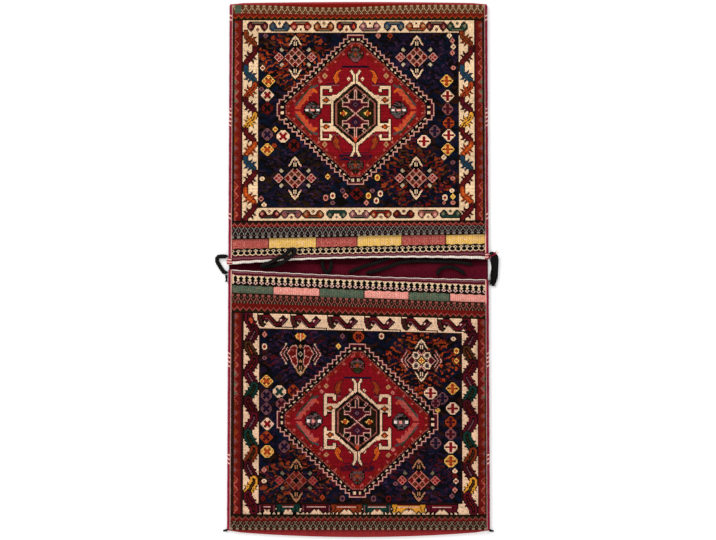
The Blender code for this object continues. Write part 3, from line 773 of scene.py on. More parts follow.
def draw_lozenge_figures(d, u, v, far):
    """What stands on the crimson round the hexagon, most of it the same at both ends.

    far is -1 or 1, for the end of the lozenge with the orange leaves and the navy bar.
    """
    flame, flicker = ("coral", "orange") if far < 0 else ("faded", "coral")
    for end in (-1, 1):
        q = d.at(u, v, across=True).upended(end)
        draw_speckled(q, 0, 55, 8, ("slate", "mauve", "umber", "brick", "moss"), 5 + end)
        q.nest(0, 55, (2.6, "rust"), (1.2, "ember"))
        q.box(-1, 13.6, 42, 43.6, "navy" if end == far else "plum")
        dim = (q.u < 17) & (q.v > 44) & (q.v < 50) & (end > 0)
        mottle(d, dim, 3, 2, 6, ("wine", "maroon", "plum", "brick"))
        q.line([(17, 24.6), (34, 24.6)], "mauve", 0.9)
        q.line([(17, 26.4), (29, 26.4)], "plum", 0.8)
        q.shape([(13.5, 41), (20, 38), (23, 32), (20.5, 24.6), (15.5, 30), (17.5, 34)],
                "orange" if end == far else "rust", "maroon", 0.8)
        q.line([(17, 37), (20, 30)], "ember", 0.9)
        for middle, reach, dye in (((31, 34), 2.9, "tan"), ((35.6, 28.4), 2.3, "pink"),
                                   ((7, 30.4), 1.9, "cream")):
            q.nest(*middle, (reach, dye), (0.8, "brick"))
        q.line([(39, 24), (44, 22), (60, 5)], "slate", 2.4)
        q.line([(44, 24.6), (58, 9)], "moss", 1.2)
        q.shape([(38, 18), (42, 22), (47, 20), (62, 1), (56, 1), (53.5, 6), (51.5, 5), (50.5, 10),
                 (48, 9), (47, 14), (44.5, 13.5), (43.5, 17)], flame)
        q.line([(39.6, 18), (43, 20)], flicker, 2.4)
        q.line([(49, 12), (58, 2)], flicker, 1.0)
        q.diamond(28, 45, 1.7, "rust")
        q.diamond(53, 26, 1.5, "rust")
    for hand in (-1, 1):
        greys = ("smoke", "slate", "umber", "ink", "mauve")
        draw_speckled(d, u + hand * FLOWER_OUT, v + 0.4, 9, greys, 8 + hand)
    q = d.at(u, v + 0.4, across=True, along=True)
    for off in (-5.4, 0, 5.4):
        middle = FLOWER_OUT + off
        q.box(middle - 1.5, middle + 1.5, -1, 1.4, "salmon" if off == 0 else "white")


# %% [markdown]
# The two fields differ in the places and dyes of what is scattered over them. Each rosette is placed
# one by one, in knots from the middle of its field, as (across, down, reach, kind).

# %% The two fields
UPPER_ROSETTES = [
    (-91, -39, 6.2, "yellow"), (-92, -25, 6.2, "white"), (-92, -12, 6, "maroon"), (-98, -31, 2.5, "dim"),
    (-76, 16, 6.5, "white"), (-92, 14, 6, "dim"), (-84, 9, 2.8, "yellow"), (-92, 29, 6.2, "yellow"),
    (-65, 25, 6, "maroon"), (-85, 25, 2.5, "rust"), (89, -39, 6.2, "yellow"), (90, -24, 6.2, "white"),
    (90, -11, 6, "mauve"), (92, -84, 2.6, "white"), (95, -79, 2.6, "pink"), (96, -73, 2.6, "white"),
    (95, -67, 2.6, "pink"), (96, -52, 2.2, "pink"), (91, 3, 6, "rust"), (91, 15, 6.2, "white"),
    (90, 29, 6.2, "yellow"), (66, 21, 6.5, "white"), (77, 11, 6, "dim"), (86, 37, 2.6, "white"),
    (95, 42, 2.5, "dim"), (95, 58, 2.2, "pink"), (94, 70, 2.4, "white"), (95, 76, 2.6, "yellow"),
    (87, 77, 3, "white"), (86, 82, 2, "pink"), (95, 82, 2.4, "pink"), (22, 73, 3, "white"),
    (18, 80, 3, "white"), (14, 70, 2.5, "dim"), (10, 75, 3, "yellow"), (8, 82, 2.6, "pink"),
    (19, 57, 3, "yellow"), (-2, 73, 6.2, "maroon"), (-13, 75, 2.8, "pink"), (-26, 75, 3, "white"),
    (-33, 77, 3, "pink"), (-26, 82, 2.5, "dim"), (-16, 70, 2.8, "dim"), (-31, 56, 2.8, "yellow"),
    (-98, 78, 2.8, "pink"), (-95, 84, 2.6, "white"), (-97, 58, 2.2, "white"), (-94, -84, 2.6, "dim"),
    (-97, -52, 2.8, "white"), (20, -84, 2.6, "pink"), (32, -84, 2.8, "rust"),
]
LOWER_ROSETTES = [
    (-94, -34, 6.2, "yellow"), (-81, -24, 6.5, "green"), (-67, -25, 6, "rust"), (-94, -20, 6, "dim"),
    (-79, -12, 6, "mauve"), (-94, -7, 6, "dim"), (-93, 8, 6.2, "white"), (-94, 21, 6.2, "rust"),
    (-76, 30, 6, "dim"), (-93, 35, 6.4, "yellow"), (-96, 53, 2.6, "pink"), (-96, 64, 2.4, "white"),
    (-97, 81, 2.6, "maroon"), (92, -30, 6.2, "yellow"), (70, -25, 6.5, "white"), (82, -20, 6, "dim"),
    (92, -10, 6.4, "white"), (77, -8, 2.6, "yellow"), (75, -15, 5, "mauve"), (90, 4, 6, "rust"),
    (90, 16, 5.6, "mauve"), (75, 25, 6, "dim"), (90, 29, 6.3, "white"), (90, 43, 6.4, "yellow"),
    (94, 53, 2.6, "white"), (94, 58, 2.6, "maroon"), (95, 63, 2.8, "white"), (94, 72, 2.6, "pink"),
    (91, 78, 2.6, "dim"), (-2, -80, 5.6, "rust"), (21, -81, 3, "white"), (-18, -80, 2.6, "dim"),
    (-96, -80, 2.6, "pink"), (-96, -68, 3, "white"), (-96, -57, 2.4, "dim"), (-22, -70, 2.6, "yellow"),
    (93, -80, 2.4, "white"), (96, -68, 3, "yellow"), (96, -58, 2.8, "yellow"), (-18, 81, 3, "dim"),
    (13, 81, 3, "dim"), (28, 81, 3, "maroon"), (-38, 80, 2.6, "rust"), (35, 66, 2.4, "dim"),
]


def draw_field(d, rosettes, stars, branches, lozenge, hexagon_reach, far, seed):
    """Ground, branches, rosettes and stars, then the lozenge over them."""
    left, top = d.u.min(), d.v.min()
    mottle(d, slice(None), seed + 9, 3, 5, ("navy", "navy", "ink", "night", "ink", "walnut", "plum"))
    for k, (star, dyes) in enumerate(zip(stars, branches)):
        draw_branches(d, *star[:2], dyes, seed + k)
    for u, v, reach, kind in rosettes:
        draw_rosette(d, u, v, reach, kind)
    for u, v, kind, line in stars:
        STARS[kind](d, u, v, line)
    u, v, width, height = lozenge
    draw_lozenge(d, u, v, width, height)
    draw_lozenge_figures(d, u, v, far)
    draw_hexagon(d, u, v + (3.6 if far < 0 else 1.0), hexagon_reach, "moss" if far < 0 else "ink")
    d.fill((d.u < left + 0.6) | (d.u > -left - 0.6) | (d.v < top + 0.6) | (d.v > -top - 0.6), "walnut")


# %% [markdown]
# ## From motifs to two whole drawings
#
# A drawing is cut into rectangles, each with its own middle, for the side guards, the border and the
# field. They share the drawing's knots, so what is drawn in a part lies in the whole.

# %% Both drawings
GUARD_KNOTS, BORDER_KNOTS, FIELD_KNOTS = 10, 15, 203
WIDTH_KNOTS = FIELD_KNOTS + 2 * (GUARD_KNOTS + BORDER_KNOTS)
# rows from the top of the picture: lattice, guard, border, field, border, guard, lattice
UPPER_ROWS = [9, 8, 12, 174, 13, 6, 10]
LOWER_ROWS = [8, 9, 14, 172, 11, 7, 9]


def draw_bag(rows, draw_inside, draw_border, end_dyes, aside=0):
    """A whole pile: guards at the sides, border and field, which sit some knots aside, and both ends.

    An end is a lattice and a guard, and end_dyes has three dyes for each of them from the top down.
    """
    d = Drawing.blank(sum(rows), WIDTH_KNOTS, "cream")
    edge = np.cumsum([0, *rows])
    left, right = GUARD_KNOTS + aside, WIDTH_KNOTS - GUARD_KNOTS + aside
    draw_side_guard(d.part(edge[1], edge[6], 0, left), -1)
    draw_side_guard(d.part(edge[1], edge[6], right), 1)
    draw_border(d.part(edge[2], edge[5], left, right))
    draw_inside(d.part(edge[3], edge[4], left + BORDER_KNOTS, right - BORDER_KNOTS))
    draw_lattice(d.part(0, edge[1]), *end_dyes[0])
    draw_end_guard(d.part(edge[1], edge[2]), *end_dyes[1])
    draw_end_guard(d.part(edge[5], edge[6]).upended(), *end_dyes[2])
    draw_lattice(d.part(edge[6], edge[7]).upended(), *end_dyes[3])
    return d


def draw_upper_border(d):
    """Brackets, ten at the top and nine at the bottom, hanging and standing by turns, and a vine."""
    d.cover("cream")
    middles = [-80, -63, -44, -29, -14, 1, 16, 29, 44, 58, 77, 92]
    dyes = ["rust", "maroon", "indigo", "ember", "maroon", "yellow", "maroon", "ember", "indigo",
            "maroon", "ember", "maroon"]
    seconds = ["brown", "brick", "green", "brick", "wine", "brown", "brick", "orange", "green", "brick",
               "orange", "brick"]
    for hand in (-1, 1):
        draw_vine(d, hand * (d.u.max() - 7), middles, dyes, seconds, "walnut", 3.4)
    corner = d.u.max() - 15
    for v in (d.v.min() + 5.5, d.v.max() - 6.5):
        d.fill((np.abs(d.v - v) < 7) & (np.abs(d.u) < corner), "cream")
    rows = [
        (d.v.min() + 5.5, "olive", 0, [-102, -80, -58.5, -35, -12, 11.5, 36, 58.5, 79, 100],
         ["maroon", "indigo", "madder", "rust", "maroon", "mauve", "indigo", "rust", "maroon", "green"],
         ["dusk", "slate", "pink", "tan", "coral", "blush", "olive", "tan", "dusk", "olive"]),
        (d.v.max() - 6, "green", 1, [-89.5, -67.5, -45.5, -22, 1, 22.5, 45.5, 70, 92.5],
         ["maroon", "mauve", "rust", "green", "mauve", "madder", "maroon", "dusk", "green"],
         ["pink", "dusk", "tan", "olive", "blush", "tan", "rust", "blush", "olive"]),
    ]
    for v, bar, hanging, places, bodies, hearts in rows:
        for k, (u, body, heart) in enumerate(zip(places, bodies, hearts)):
            draw_bracket(d, u, v, body, heart, bar, 1 if k % 2 == hanging else -1)


def draw_lower_border(d):
    """Trailing leaves on the mouth's side, wings at the fold's, and a dark vine at the sides."""
    d.cover("cream")
    top, bottom = d.v.min() + 6.5, d.v.max() - 5
    middles = [-88, -75, -61, -47, -34, -21, -6, 10, 27, 42, 57, 72, 87]
    dyes = ["wine", "maroon", "brown", "maroon", "wine", "green", "maroon", "wine", "green", "rust",
            "maroon", "yellow", "wine"]
    seconds = ["brick", "mauve", "rust", "brick", "mauve", "moss", "brick", "mauve", "moss", "brown",
               "mauve", "brown", "brick"]
    for hand in (-1, 1):
        middle = hand * (d.u.max() - 7)
        draw_vine(d, middle, middles, dyes, seconds, "ink", 7.6, 2.8, stripe=3.4)
        for k, v in enumerate(middles):  # a cream nook at each side of a flower, inside the vine's bend
            for end in (-1, 1):
                out = end * (5.8 if k % 2 else -5.8)
                d.diamond(middle + out, v + end * 5.6, 2.5, "cream", 1.3)
    for k, u in enumerate([-88, -55, -18, 19, 56, 92]):
        draw_trailing_leaf(d, u, top, "wine" if k % 2 else "maroon")
    d.shape([(-111, top - 5), (-107, top - 1), (-108, top + 5), (-112, top)], "coral", "walnut")
    wings = [(-93, 8.5, "maroon"), (-72, 11, "green"), (-44, 14.5, "maroon"), (-14, 15, "rust"),
             (16.5, 14, "green"), (48, 16, "yellow"), (81, 15, "wine")]
    for u, reach, dye in wings:
        draw_wings(d, u, bottom, dye, reach)


def upper_inside(d):
    stars = [(-64, -62.5, 0, "blush"), (59, -62.5, 0, "blush"), (-64, 57.5, 0, "blush"),
             (58, 57.5, 0, "blush")]
    branches = [("rust", "ember", "rust", "brick", "brown", "ink"), ("purple", "navy", "plum", "ink"),
                ("purple", "plum", "umber", "ink"), ("rust", "maroon", "brick", "brown", "ink")]
    draw_field(d, UPPER_ROSETTES, stars, branches, (-3, -10.3, 78.7, 74.7), 36, -1, 11)


def lower_inside(d):
    stars = [(-60, -61.5, 1, "blush"), (61, -57.5, 2, "blush"), (-64, 63.5, 0, "dusk"),
             (58, 62.5, 0, "pink")]
    branches = [("purple", "plum", "maroon", "ink"), ("rust", "brown", "ember", "brick", "ink"),
                ("rust", "maroon", "brown", "ink"), ("purple", "plum", "maroon", "ink")]
    draw_field(d, LOWER_ROSETTES, stars, branches, (-3.2, 3.7, 80.2, 76.7), 33.5, 1, 31)


upper_drawing = draw_bag(UPPER_ROWS, upper_inside, draw_upper_border, [
    ("reed", "brown", "rust"), ("brick", "ember", "umber"), ("brick", "faded", "walnut"),
    ("ash", "ink", "mauve")])
upper_drawing.part(0, UPPER_ROWS[0], 2, 8).cover("bottle")  # a patch of another wool in the corner
lower_drawing = draw_bag(LOWER_ROWS, lower_inside, draw_lower_border, [
    ("dusk", "walnut", "olive"), ("brick", "faded", "umber"), ("brick", "dusk", "umber"),
    ("sand", "walnut", "dusk")], aside=2)
print("drawings of", upper_drawing.knots.shape, "and", lower_drawing.knots.shape, "knots")

# %% [markdown]
# ## Wool pile
#
# Hand-spun wool, knotted and cut to 6 mm, is matt from above and has a soft sheen along its tips. The
# colour comes from the dye attribute, broken up by fibre ends of about 0.8 mm, which also give the bump.


# %% Wool material
def wool_material(name, grain, roughness, sheen, bump, contrast=0.18):
    """Dyed wool: the dye attribute, lightened and darkened by a noise with grains of that size."""
    material, tree, output = new_material(name)
    dye = add(tree, "ShaderNodeAttribute", {"attribute_name": "dye"})
    place = add(tree, "ShaderNodeTexCoord")
    fibres = add(tree, "ShaderNodeTexNoise", vector=place.outputs["Object"], scale=1 / grain, detail=3.0,
                 roughness=0.6)
    shade = add(tree, "ShaderNodeMapRange", value=fibres.outputs[0], from_min=0.3, from_max=0.7,
                to_min=1 - contrast, to_max=1 + contrast)
    colour = add(tree, "ShaderNodeVectorMath", {"operation": "SCALE"}, in_0=dye.outputs["Color"],
                 scale=shade.outputs[0])
    height = add(tree, "ShaderNodeBump", strength=bump, distance=0.001, height=fibres.outputs[0])
    surface = add(tree, "ShaderNodeBsdfPrincipled", base_color=colour.outputs[0], roughness=roughness,
                  sheen_weight=sheen, sheen_roughness=0.5, specular_ior_level=0.03,
                  normal=height.outputs[0])
    tree.links.new(surface.outputs[0], output.inputs["Surface"])
    return material


pile_wool = wool_material("knotted_wool_pile", 0.0008, 0.95, 0.015, 0.5)

# %% [markdown]
# ## Two sheets of pile
#
# One grid line runs between each two knots. Heights vary by a fraction of a millimetre from corner to
# corner, so the light catches each knot a little differently. The skirt goes down to the cloth, and a
# coarser underside closes the sheet.


# %% The pile sheets
def spread(edges, counts):
    """Places of the lines between knots: each band is cut evenly into its count."""
    bands = [np.linspace(a, b, n, endpoint=False) for a, b, n in zip(edges, edges[1:], counts)]
    return np.concatenate([*bands, edges[-1:]])


PILE_LIGHT = {"upper": (1, 0.95, 0.92), "lower": (0.86, 0.77, 0.8)}  # the lower bag is the darker one
FOLD_ROLL = 0.0065  # how far the pile ends short of the upper fold where the strip rolls over most
ROLL_MIDDLE, ROLL_WIDTH = -0.06, 0.13
UNEVEN_PILE = 0.00022  # spread of the heights of the knots' corners


def make_pile(bag, drawing, rows, seed):
    """A closed sheet over the bag's front, with a face for each knot."""
    edges = np.array([-GUARD_OUTSIDE, -BORDER_OUTSIDE, -FIELD_SIDE, FIELD_SIDE, BORDER_OUTSIDE,
                      GUARD_OUTSIDE])
    across = spread(edges, [GUARD_KNOTS, BORDER_KNOTS, FIELD_KNOTS, BORDER_KNOTS, GUARD_KNOTS])
    down = spread(bag.lines[:8] if bag is UPPER else bag.lines[7::-1], rows)
    x, s = np.meshgrid(across, down)
    if bag is UPPER:
        roll = np.exp(-(((x - ROLL_MIDDLE) / ROLL_WIDTH) ** 2))
        s = s + FOLD_ROLL * roll * np.clip(1 - s / bag.lines[2], 0, 1)
    flat_x, y = lay(bag, x, s)
    rng = np.random.default_rng(seed)
    z = front_height(bag, x, s) + CLEARANCE
    top = np.stack([flat_x, y, z + PILE + rng.normal(0, UNEVEN_PILE, z.shape)], 2)
    low_rows = np.unique(np.linspace(0, len(down) - 1, 25).astype(int))
    low = np.stack([flat_x, y, z], 2)[low_rows]
    count, columns = top.shape[:2]
    points = np.concatenate([top.reshape(-1, 3), low.reshape(-1, 3)])
    at_top = np.arange(count * columns).reshape(count, columns)
    at_low = np.arange(len(low_rows) * columns).reshape(-1, columns) + count * columns
    faces = [grid_faces(count, columns)[:, ::-1], grid_faces(len(low_rows), columns) + count * columns]
    first = [at_top[0, :-1], at_top[0, 1:], at_low[0, 1:], at_low[0, :-1]]
    last = [at_low[-1, :-1], at_low[-1, 1:], at_top[-1, 1:], at_top[-1, :-1]]
    faces = [list(f) for f in np.concatenate([*faces, np.stack(first, 1), np.stack(last, 1)])]
    for k, (start, end) in enumerate(zip(low_rows, low_rows[1:])):
        faces.append([at_top[start, 0], at_low[k, 0], at_low[k + 1, 0],
                      *at_top[start + 1 : end + 1, 0][::-1]])
        faces.append([*at_top[start : end + 1, -1], at_low[k + 1, -1], at_low[k, -1]])
    colours = dyed(drawing.knots, seed) * PILE_LIGHT[bag.name]
    # Painted shade: the skirt, and the underside with it, are one dark walnut instead of the knots'
    # dyes, for the shade down the pile's sides.
    dark = np.broadcast_to(linear(DYES["walnut"]), (len(faces) - colours.shape[0] * (columns - 1), 3))
    colours = np.concatenate([colours.reshape(-1, 3), dark])
    return make_piece(f"{bag.name}_pile_sheet", points, faces, pile_wool, colours, smooth=False)


PILE_FIELDS = [
    "end_lattice", "guard", "border", "field", "lozenge_edge", "lozenge", "hooked_hexagon",
    "hexagon_centre", "mouth_lattice", "star_fold_left", "star_fold_right", "star_mouth_left",
    "star_mouth_right",
]
for bag, drawing, rows, seed in ((UPPER, upper_drawing, UPPER_ROWS, 5),
                                 (LOWER, lower_drawing, LOWER_ROWS, 6)):
    sheet = make_pile(bag, drawing, rows, seed)
    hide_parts(*[f"{bag.name}_{field}_pile" for field in PILE_FIELDS])
    print(sheet.name, len(sheet.data.polygons), "faces")

# %% [markdown]
# ## The decorated bands at the mouths
#
# Between the pile and each mouth the cloth is flat woven: a row of slit tapestry blocks, a row of pale
# figures on black, and an edge wrapped in white. Its drawing is finer than a knot, one cell for half of
# one, which is the width of two warps. Ribs from the warps show in it, and a slit parts each two blocks.

# %% The band drawings
CELL = 0.00114
REPEAT = 11.8  # cells from one figure to the next
BAND_CELLS = int(round(2 * CLOTH_EDGE / CELL))
TUCK = 0.004  # how far a band reaches under the last row of pile


def draw_blocks(d, bag, colours, flecks, seed):
    """Blocks in two turns of colour between the slits, with dashes where another dye shows through.

    Each block starts a row or two lower or higher than its neighbours.
    """
    rng = np.random.default_rng(seed)
    ends = [-1, *bag.slits, 1]
    x = d.u * CELL
    rows, columns = d.knots.shape
    dash = np.repeat(rng.random((rows // 2 + 1, columns)), 2, axis=0)[:rows]
    for k, (start, end) in enumerate(zip(ends, ends[1:])):
        here = (x >= start) & (x < end)
        d.fill(here, colours[k % 2])
        share, pale, dark = flecks[k % 2]
        d.fill(here & (dash > 1 - share), pale)
        d.fill(here & (dash < share * 0.6), dark)
        d.fill(here & (d.v < d.v.min() + 3 + rng.integers(0, 3)), "umber")
    # Painted shade: each slit is filled with dark walnut for the shade in its gap, as the cloth is only
    # pressed in there.
    for slit in bag.slits:
        uneven = slit + 0.0006 * np.sin(d.v * 1.3 + slit * 40)
        d.fill(np.abs(x - uneven) < 0.0009, "walnut")
    d.fill(d.v > d.v.max() - 1 + np.sin(x * 300), "umber")


def draw_anchors(d):
    """Pale figures on black, one for each repeat: a ring on a stem, which stands on a zigzag line."""
    d.cover("ink")
    away, top = wave(d.u, REPEAT) * REPEAT / 2, d.v + d.v.max()
    d.fill(np.abs(away + 1.5 * np.abs(top - 3.0) - 3.6) < 1.1, "cream")
    d.fill((away < 1.1) & (top > 5) & (top < 9.6), "cream")
    d.fill(np.abs(top - 9.4 - 0.5 * away) < 0.9, "cream")
    d.fill(top - 11 - 0.3 * away > 0, "wine")


def draw_rings(d):
    """From the mouth: cream with black diamonds in it, and a pale ring on black under each column."""
    d.cover("ink")
    away, top = wave(d.u, REPEAT) * REPEAT / 2, d.v + d.v.max()
    d.fill(top < 12.2 - 0.5 * away, "cream")
    d.fill((REPEAT / 2 - away) / 5.4 + np.abs(top - 7.2) / 5.6 < 1, "ink")
    ring = away / 4.8 + np.abs(top - 15.2) / 4.0
    d.fill(ring < 1, "rose")
    d.fill(ring < 0.55, "ink")
    d.fill(top < 1.8, "wine")


def draw_edge(d, white_rows):
    """From the figures outward: wine red with a dusty line in it, and the white edge."""
    top = d.v + d.v.max()
    d.cover("wine")
    d.fill((top > 1.6) & (top < 3.4), "mauve")
    d.fill(top > 2 * d.v.max() - white_rows + 0.6, "white")


band_rows = {"upper": [3, 22, 13, 9], "lower": [3, 18, 21, 6]}
upper_band = Drawing.blank(sum(band_rows["upper"]), BAND_CELLS, "ink")
edge = np.cumsum([0, *band_rows["upper"]])
draw_blocks(upper_band.part(0, edge[2]), UPPER, ("faded", "gold"),
            [(0.14, "pink", "crimson"), (0.12, "rose", "yellow")], 41)
draw_anchors(upper_band.part(edge[2], edge[3]))
draw_edge(upper_band.part(edge[3], edge[4]), 3.2)
lower_band = Drawing.blank(sum(band_rows["lower"]), BAND_CELLS, "ink")
edge = np.cumsum([0, *band_rows["lower"]])
draw_blocks(lower_band.part(0, edge[2]), LOWER, ("sage", "salmon"),
            [(0.3, "olive", "slate"), (0.1, "rose", "pink")], 42)
draw_rings(lower_band.part(edge[2], edge[3]).upended())
draw_edge(lower_band.part(edge[3], edge[4]), 1.6)
lower_band.part(edge[2] + 2, edge[3], 3, 10).cover("cream")
print("bands of", upper_band.knots.shape, "and", lower_band.knots.shape, "cells")

# %% [markdown]
# ## Bands as cloth
#
# A band is a thin sheet with a face for each cell. Every other grid line is raised a little for the
# warps, the slits are pressed in, and Solidify adds the cloth's second face.

# %% The band pieces
band_wool = wool_material("flat_woven_wool", 0.0006, 0.9, 0.01, 0.35)
RIB = 0.00022  # height of a warp's rib above the band's middle
SLIT_REACH, SLIT_DEPTH = 0.0008, 0.0016  # half width of a slit, and how deep it is pressed in


def thicken(ob, thickness):
    """A cloth's second face, below its first."""
    wall = ob.modifiers.new("thickness", "SOLIDIFY")
    wall.thickness, wall.offset, wall.use_even_offset = thickness, -1, True


def make_band(bag, drawing, rows, seed):
    """The cloth from just under the pile to the mouth, with a rib for each warp pair."""
    across = np.linspace(-CLOTH_EDGE, CLOTH_EDGE, BAND_CELLS + 1)
    start = bag.lines[7] - TUCK
    down = spread(np.array([start, *bag.lines[7:]]), rows)
    x, s = np.meshgrid(across, down)
    flat_x, y = lay(bag, x, s)
    rng = np.random.default_rng(seed)
    y = y + bag.side * 0.0004 * np.sin(x * 210 + seed) * (s > bag.lines[8])
    ribs = RIB * np.cos(pi * np.arange(BAND_CELLS + 1)) + rng.normal(0, 0.0001, x.shape)
    slit = np.min(np.abs(x[..., None] - np.array(bag.slits)), 2) < SLIT_REACH
    dent = SLIT_DEPTH * (slit & (s > bag.lines[7]) & (s < bag.lines[8]))
    z = front_height(bag, x, s) + ribs * (s > bag.lines[7]) - dent
    points = np.stack([flat_x, y, z], 2).reshape(-1, 3)
    faces = grid_faces(len(down), len(across))
    if bag is UPPER:
        faces = faces[:, ::-1]
    pair = np.arange(BAND_CELLS)
    warps = 1 + 0.13 * np.sin(pair * 2 * pi / 4.3) + rng.normal(0, 0.06, BAND_CELLS)
    colours = dyed(drawing.knots, seed, 0.12, 0.03) * warps[:, None]
    ob = make_piece(f"{bag.name}_mouth_band", points, faces, band_wool, colours.reshape(-1, 3))
    thicken(ob, CLOTH)
    return ob


upper_mouth_band = make_band(UPPER, upper_band, band_rows["upper"], 7)
lower_mouth_band = make_band(LOWER, lower_band, band_rows["lower"], 8)

# %% [markdown]
# ## The strip itself
#
# The rest of the cloth is one sheet: up under the pile of one front, round its fold, along the whole
# back and the bridge, and round the other fold. It is plain woven in madder, and darker on the back.
# Just under the upper mouth's edge the bridge is painted darker still, almost to black, as painted
# shadow.
# Its outer face is a grid whose rows follow that way round, and Solidify gives it its 3 mm.

# %% The strip
weave = wool_material("madder_plain_weave", 0.0014, 0.95, 0.01, 0.6, 0.22)
cross = spread(np.array([-CLOTH_EDGE, -GUARD_OUTSIDE, -BORDER_OUTSIDE, BORDER_OUTSIDE, GUARD_OUTSIDE,
                         CLOTH_EDGE]), [3, 6, 130, 6, 3])


def front_part(bag):
    """Rows of the outer face from under the mouth band to the fold."""
    s = np.linspace(bag.lines[7] - TUCK - CLEARANCE, 0, 60)
    x, s = np.meshgrid(cross, s)
    flat_x, y = lay(bag, x, s)
    return np.stack([flat_x, y, front_height(bag, x, s)], 2)


def fold_part(bag):
    """Half a circle from the front's height to the back's, pushed out as the strip bulges."""
    turn, x = np.meshgrid(np.linspace(0, pi, 17), cross, indexing="ij")
    out = bag.bulge * (1 - (x / CLOTH_EDGE) ** 2)
    top, bottom = front_height(bag, x, 0 * x), back_height(x)
    radius, middle = (top - bottom) / 2, (top + bottom) / 2
    flat_x, y = lay(bag, x, -out)
    return np.stack([flat_x, y + bag.side * radius * np.sin(turn), middle + radius * np.cos(turn)], 2)


def back_part():
    """Rows of the underside, from the upper fold to the lower."""
    ends = [fold_part(bag)[-1] for bag in (UPPER, LOWER)]
    share = np.linspace(0, 1, 162)[1:-1, None, None]
    return ends[0] * (1 - share) + ends[1] * share


stretches = [front_part(UPPER), fold_part(UPPER), back_part(), fold_part(LOWER)[::-1],
             front_part(LOWER)[::-1]]
way = np.concatenate(stretches)
walked = walked_along(way[:, len(cross) // 2])
dyes = np.repeat(["madder", "claret", "wine", "claret", "madder"], [len(rows) for rows in stretches])
cells = np.array([NUMBER[dye] for dye in dyes[:-1]])[:, None] * np.ones(len(cross) - 1, int)
strip_uv = np.stack(np.broadcast_arrays(cross, walked[:, None]), 2).reshape(-1, 2)
# Painted shadow: the bridge is darkened just under the upper mouth's edge, almost to black, where that
# edge shades it.
mouth_y = lay(UPPER, cross, np.full(len(cross), UPPER.lines[-1]))[1]
below = (mouth_y - way[..., 1])[:-1, :-1]
below = below + 0.003 * np.sin(cross[:-1] * 37) + 0.002 * np.sin(cross[:-1] * 91)
mouth_shadow = 0.35 + 0.65 * np.clip((below - 0.004) / 0.012, 0, 1)  # almost black by the upper mouth
on_back = (dyes[:-1] == "wine")[:, None] & (np.abs(below) < 0.03)
strip_dye = dyed(cells, 9, 0.07, 0.05) * np.where(on_back, mouth_shadow, 1)[..., None]
strip = make_piece("folded_strip", way.reshape(-1, 3), grid_faces(len(way), len(cross)), weave,
                   strip_dye.reshape(-1, 3), strip_uv)
thicken(strip, CLOTH)
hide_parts("upper_cloth", "lower_cloth")
print("strip", round(float(walked[-1]), 3), "m long before it was folded")

# %% [markdown]
# ## Overcast sides
#
# The front and the back are sewn together by wool wound round both selvedges. The section is a rounded
# C that grips the two layers, and its outside swells once for each turn of yarn. Crimson and cream take
# turns, so the edge looks like a barber's pole where the turns were pulled apart.

# %% Wrappings along the sides
YARN = 0.0024  # one turn of the winding yarn
LIP = SEAM_LIFT + SEAM_THICKNESS + CLEARANCE
TOP = LIP + BINDING_WALL
ARC = 14  # points on the outer arc of the section
SWELL = 0.00045  # how far a turn of yarn stands out


def make_wrapping(name, hand, y_from, y_to, outward, pale):
    """A closed C section carried along the seam, its arc swelling with each turn of yarn.

    pale says, from the angle round the arc and the turns so far, where the yarn is the cream one.
    """
    turn = np.linspace(-pi / 2, pi / 2, ARC)
    centre = HALF_WIDTH - BINDING_WIDTH / 2
    arc_x = centre + (HALF_WIDTH + outward - centre) * np.cos(turn)
    arc_z = TOP / 2 * (1 + np.sin(turn))
    slot = CLOTH_EDGE + CLEARANCE
    inner_turns = BINDING_INSIDE + 0.0022
    section_x = [BINDING_INSIDE, *arc_x, inner_turns, BINDING_INSIDE, BINDING_INSIDE, slot, slot,
                 BINDING_INSIDE]
    low = SEAM_LIFT - CLEARANCE
    section_z = [0, *arc_z, TOP, TOP, LIP, LIP, low, low]
    y = np.linspace(y_from, y_to, max(int(abs(y_to - y_from) / YARN * 5), 10))
    count = len(section_x)
    x, ys = np.meshgrid(section_x, y)
    z = np.meshgrid(section_z, y)[0]
    on_arc = np.zeros(count)
    on_arc[1 : ARC + 1] = np.cos(turn) ** 0.3
    swell = SWELL * (np.cos(2 * pi * ys / YARN + 1.2 * np.linspace(-1, 1, count)) - 1) * on_arc
    slow = 0.0005 * np.sin(ys * 61 + hand) * on_arc
    x = x + (swell - 0.5 * np.abs(slow)) * on_arc
    points = np.stack([narrowed(hand * x, ys), ys, np.maximum(z + swell * np.sign(z - TOP / 2), 0)], 2)
    faces = grid_faces(len(y), count, closed=True)
    ends = [list(range(count)), list(range((len(y) - 1) * count, len(y) * count))]
    outward_first = (hand > 0) != (y_to > y_from)
    faces = faces if outward_first else faces[:, ::-1]
    ends[0 if outward_first else 1].reverse()
    level, row = np.meshgrid(np.arange(count) / ARC, (y[:-1] + y[1:]) / 2)
    cells = np.where(pale(level, row), NUMBER["rose"], NUMBER["carmine"])
    colours = np.concatenate([dyed(cells, 12, 0.10, 0.05).reshape(-1, 3),
                              np.tile(linear(DYES["wine"]), (2, 1))])
    ob = make_piece(name, points.reshape(-1, 3), [list(f) for f in faces] + ends, binding_wool, colours)
    return ob


def binding_pale(level, row):
    """The innermost turns, and now and then one in four where the winding is loose."""
    loose = np.sin(row * 23) + np.sin(row * 57 + 1) > 1.3
    spiral = (row / (4 * YARN) + 0.7 * level) % 1 < 0.35
    return ((level > 1.05) & (level < 1.3)) | (loose & spiral)


def lashing_pale(level, row):
    """Every other pair of turns."""
    return (row / (2.4 * YARN) + 0.35 * level) % 1 < 0.5


def seam_ends(bag, hand):
    """y where a bag's seam starts at the fold, and where it ends at the mouth."""
    edge_x = np.array(hand * CLOTH_EDGE)
    return float(lay(bag, edge_x, 0.0)[1]), float(lay(bag, edge_x, bag.lines[-1])[1])


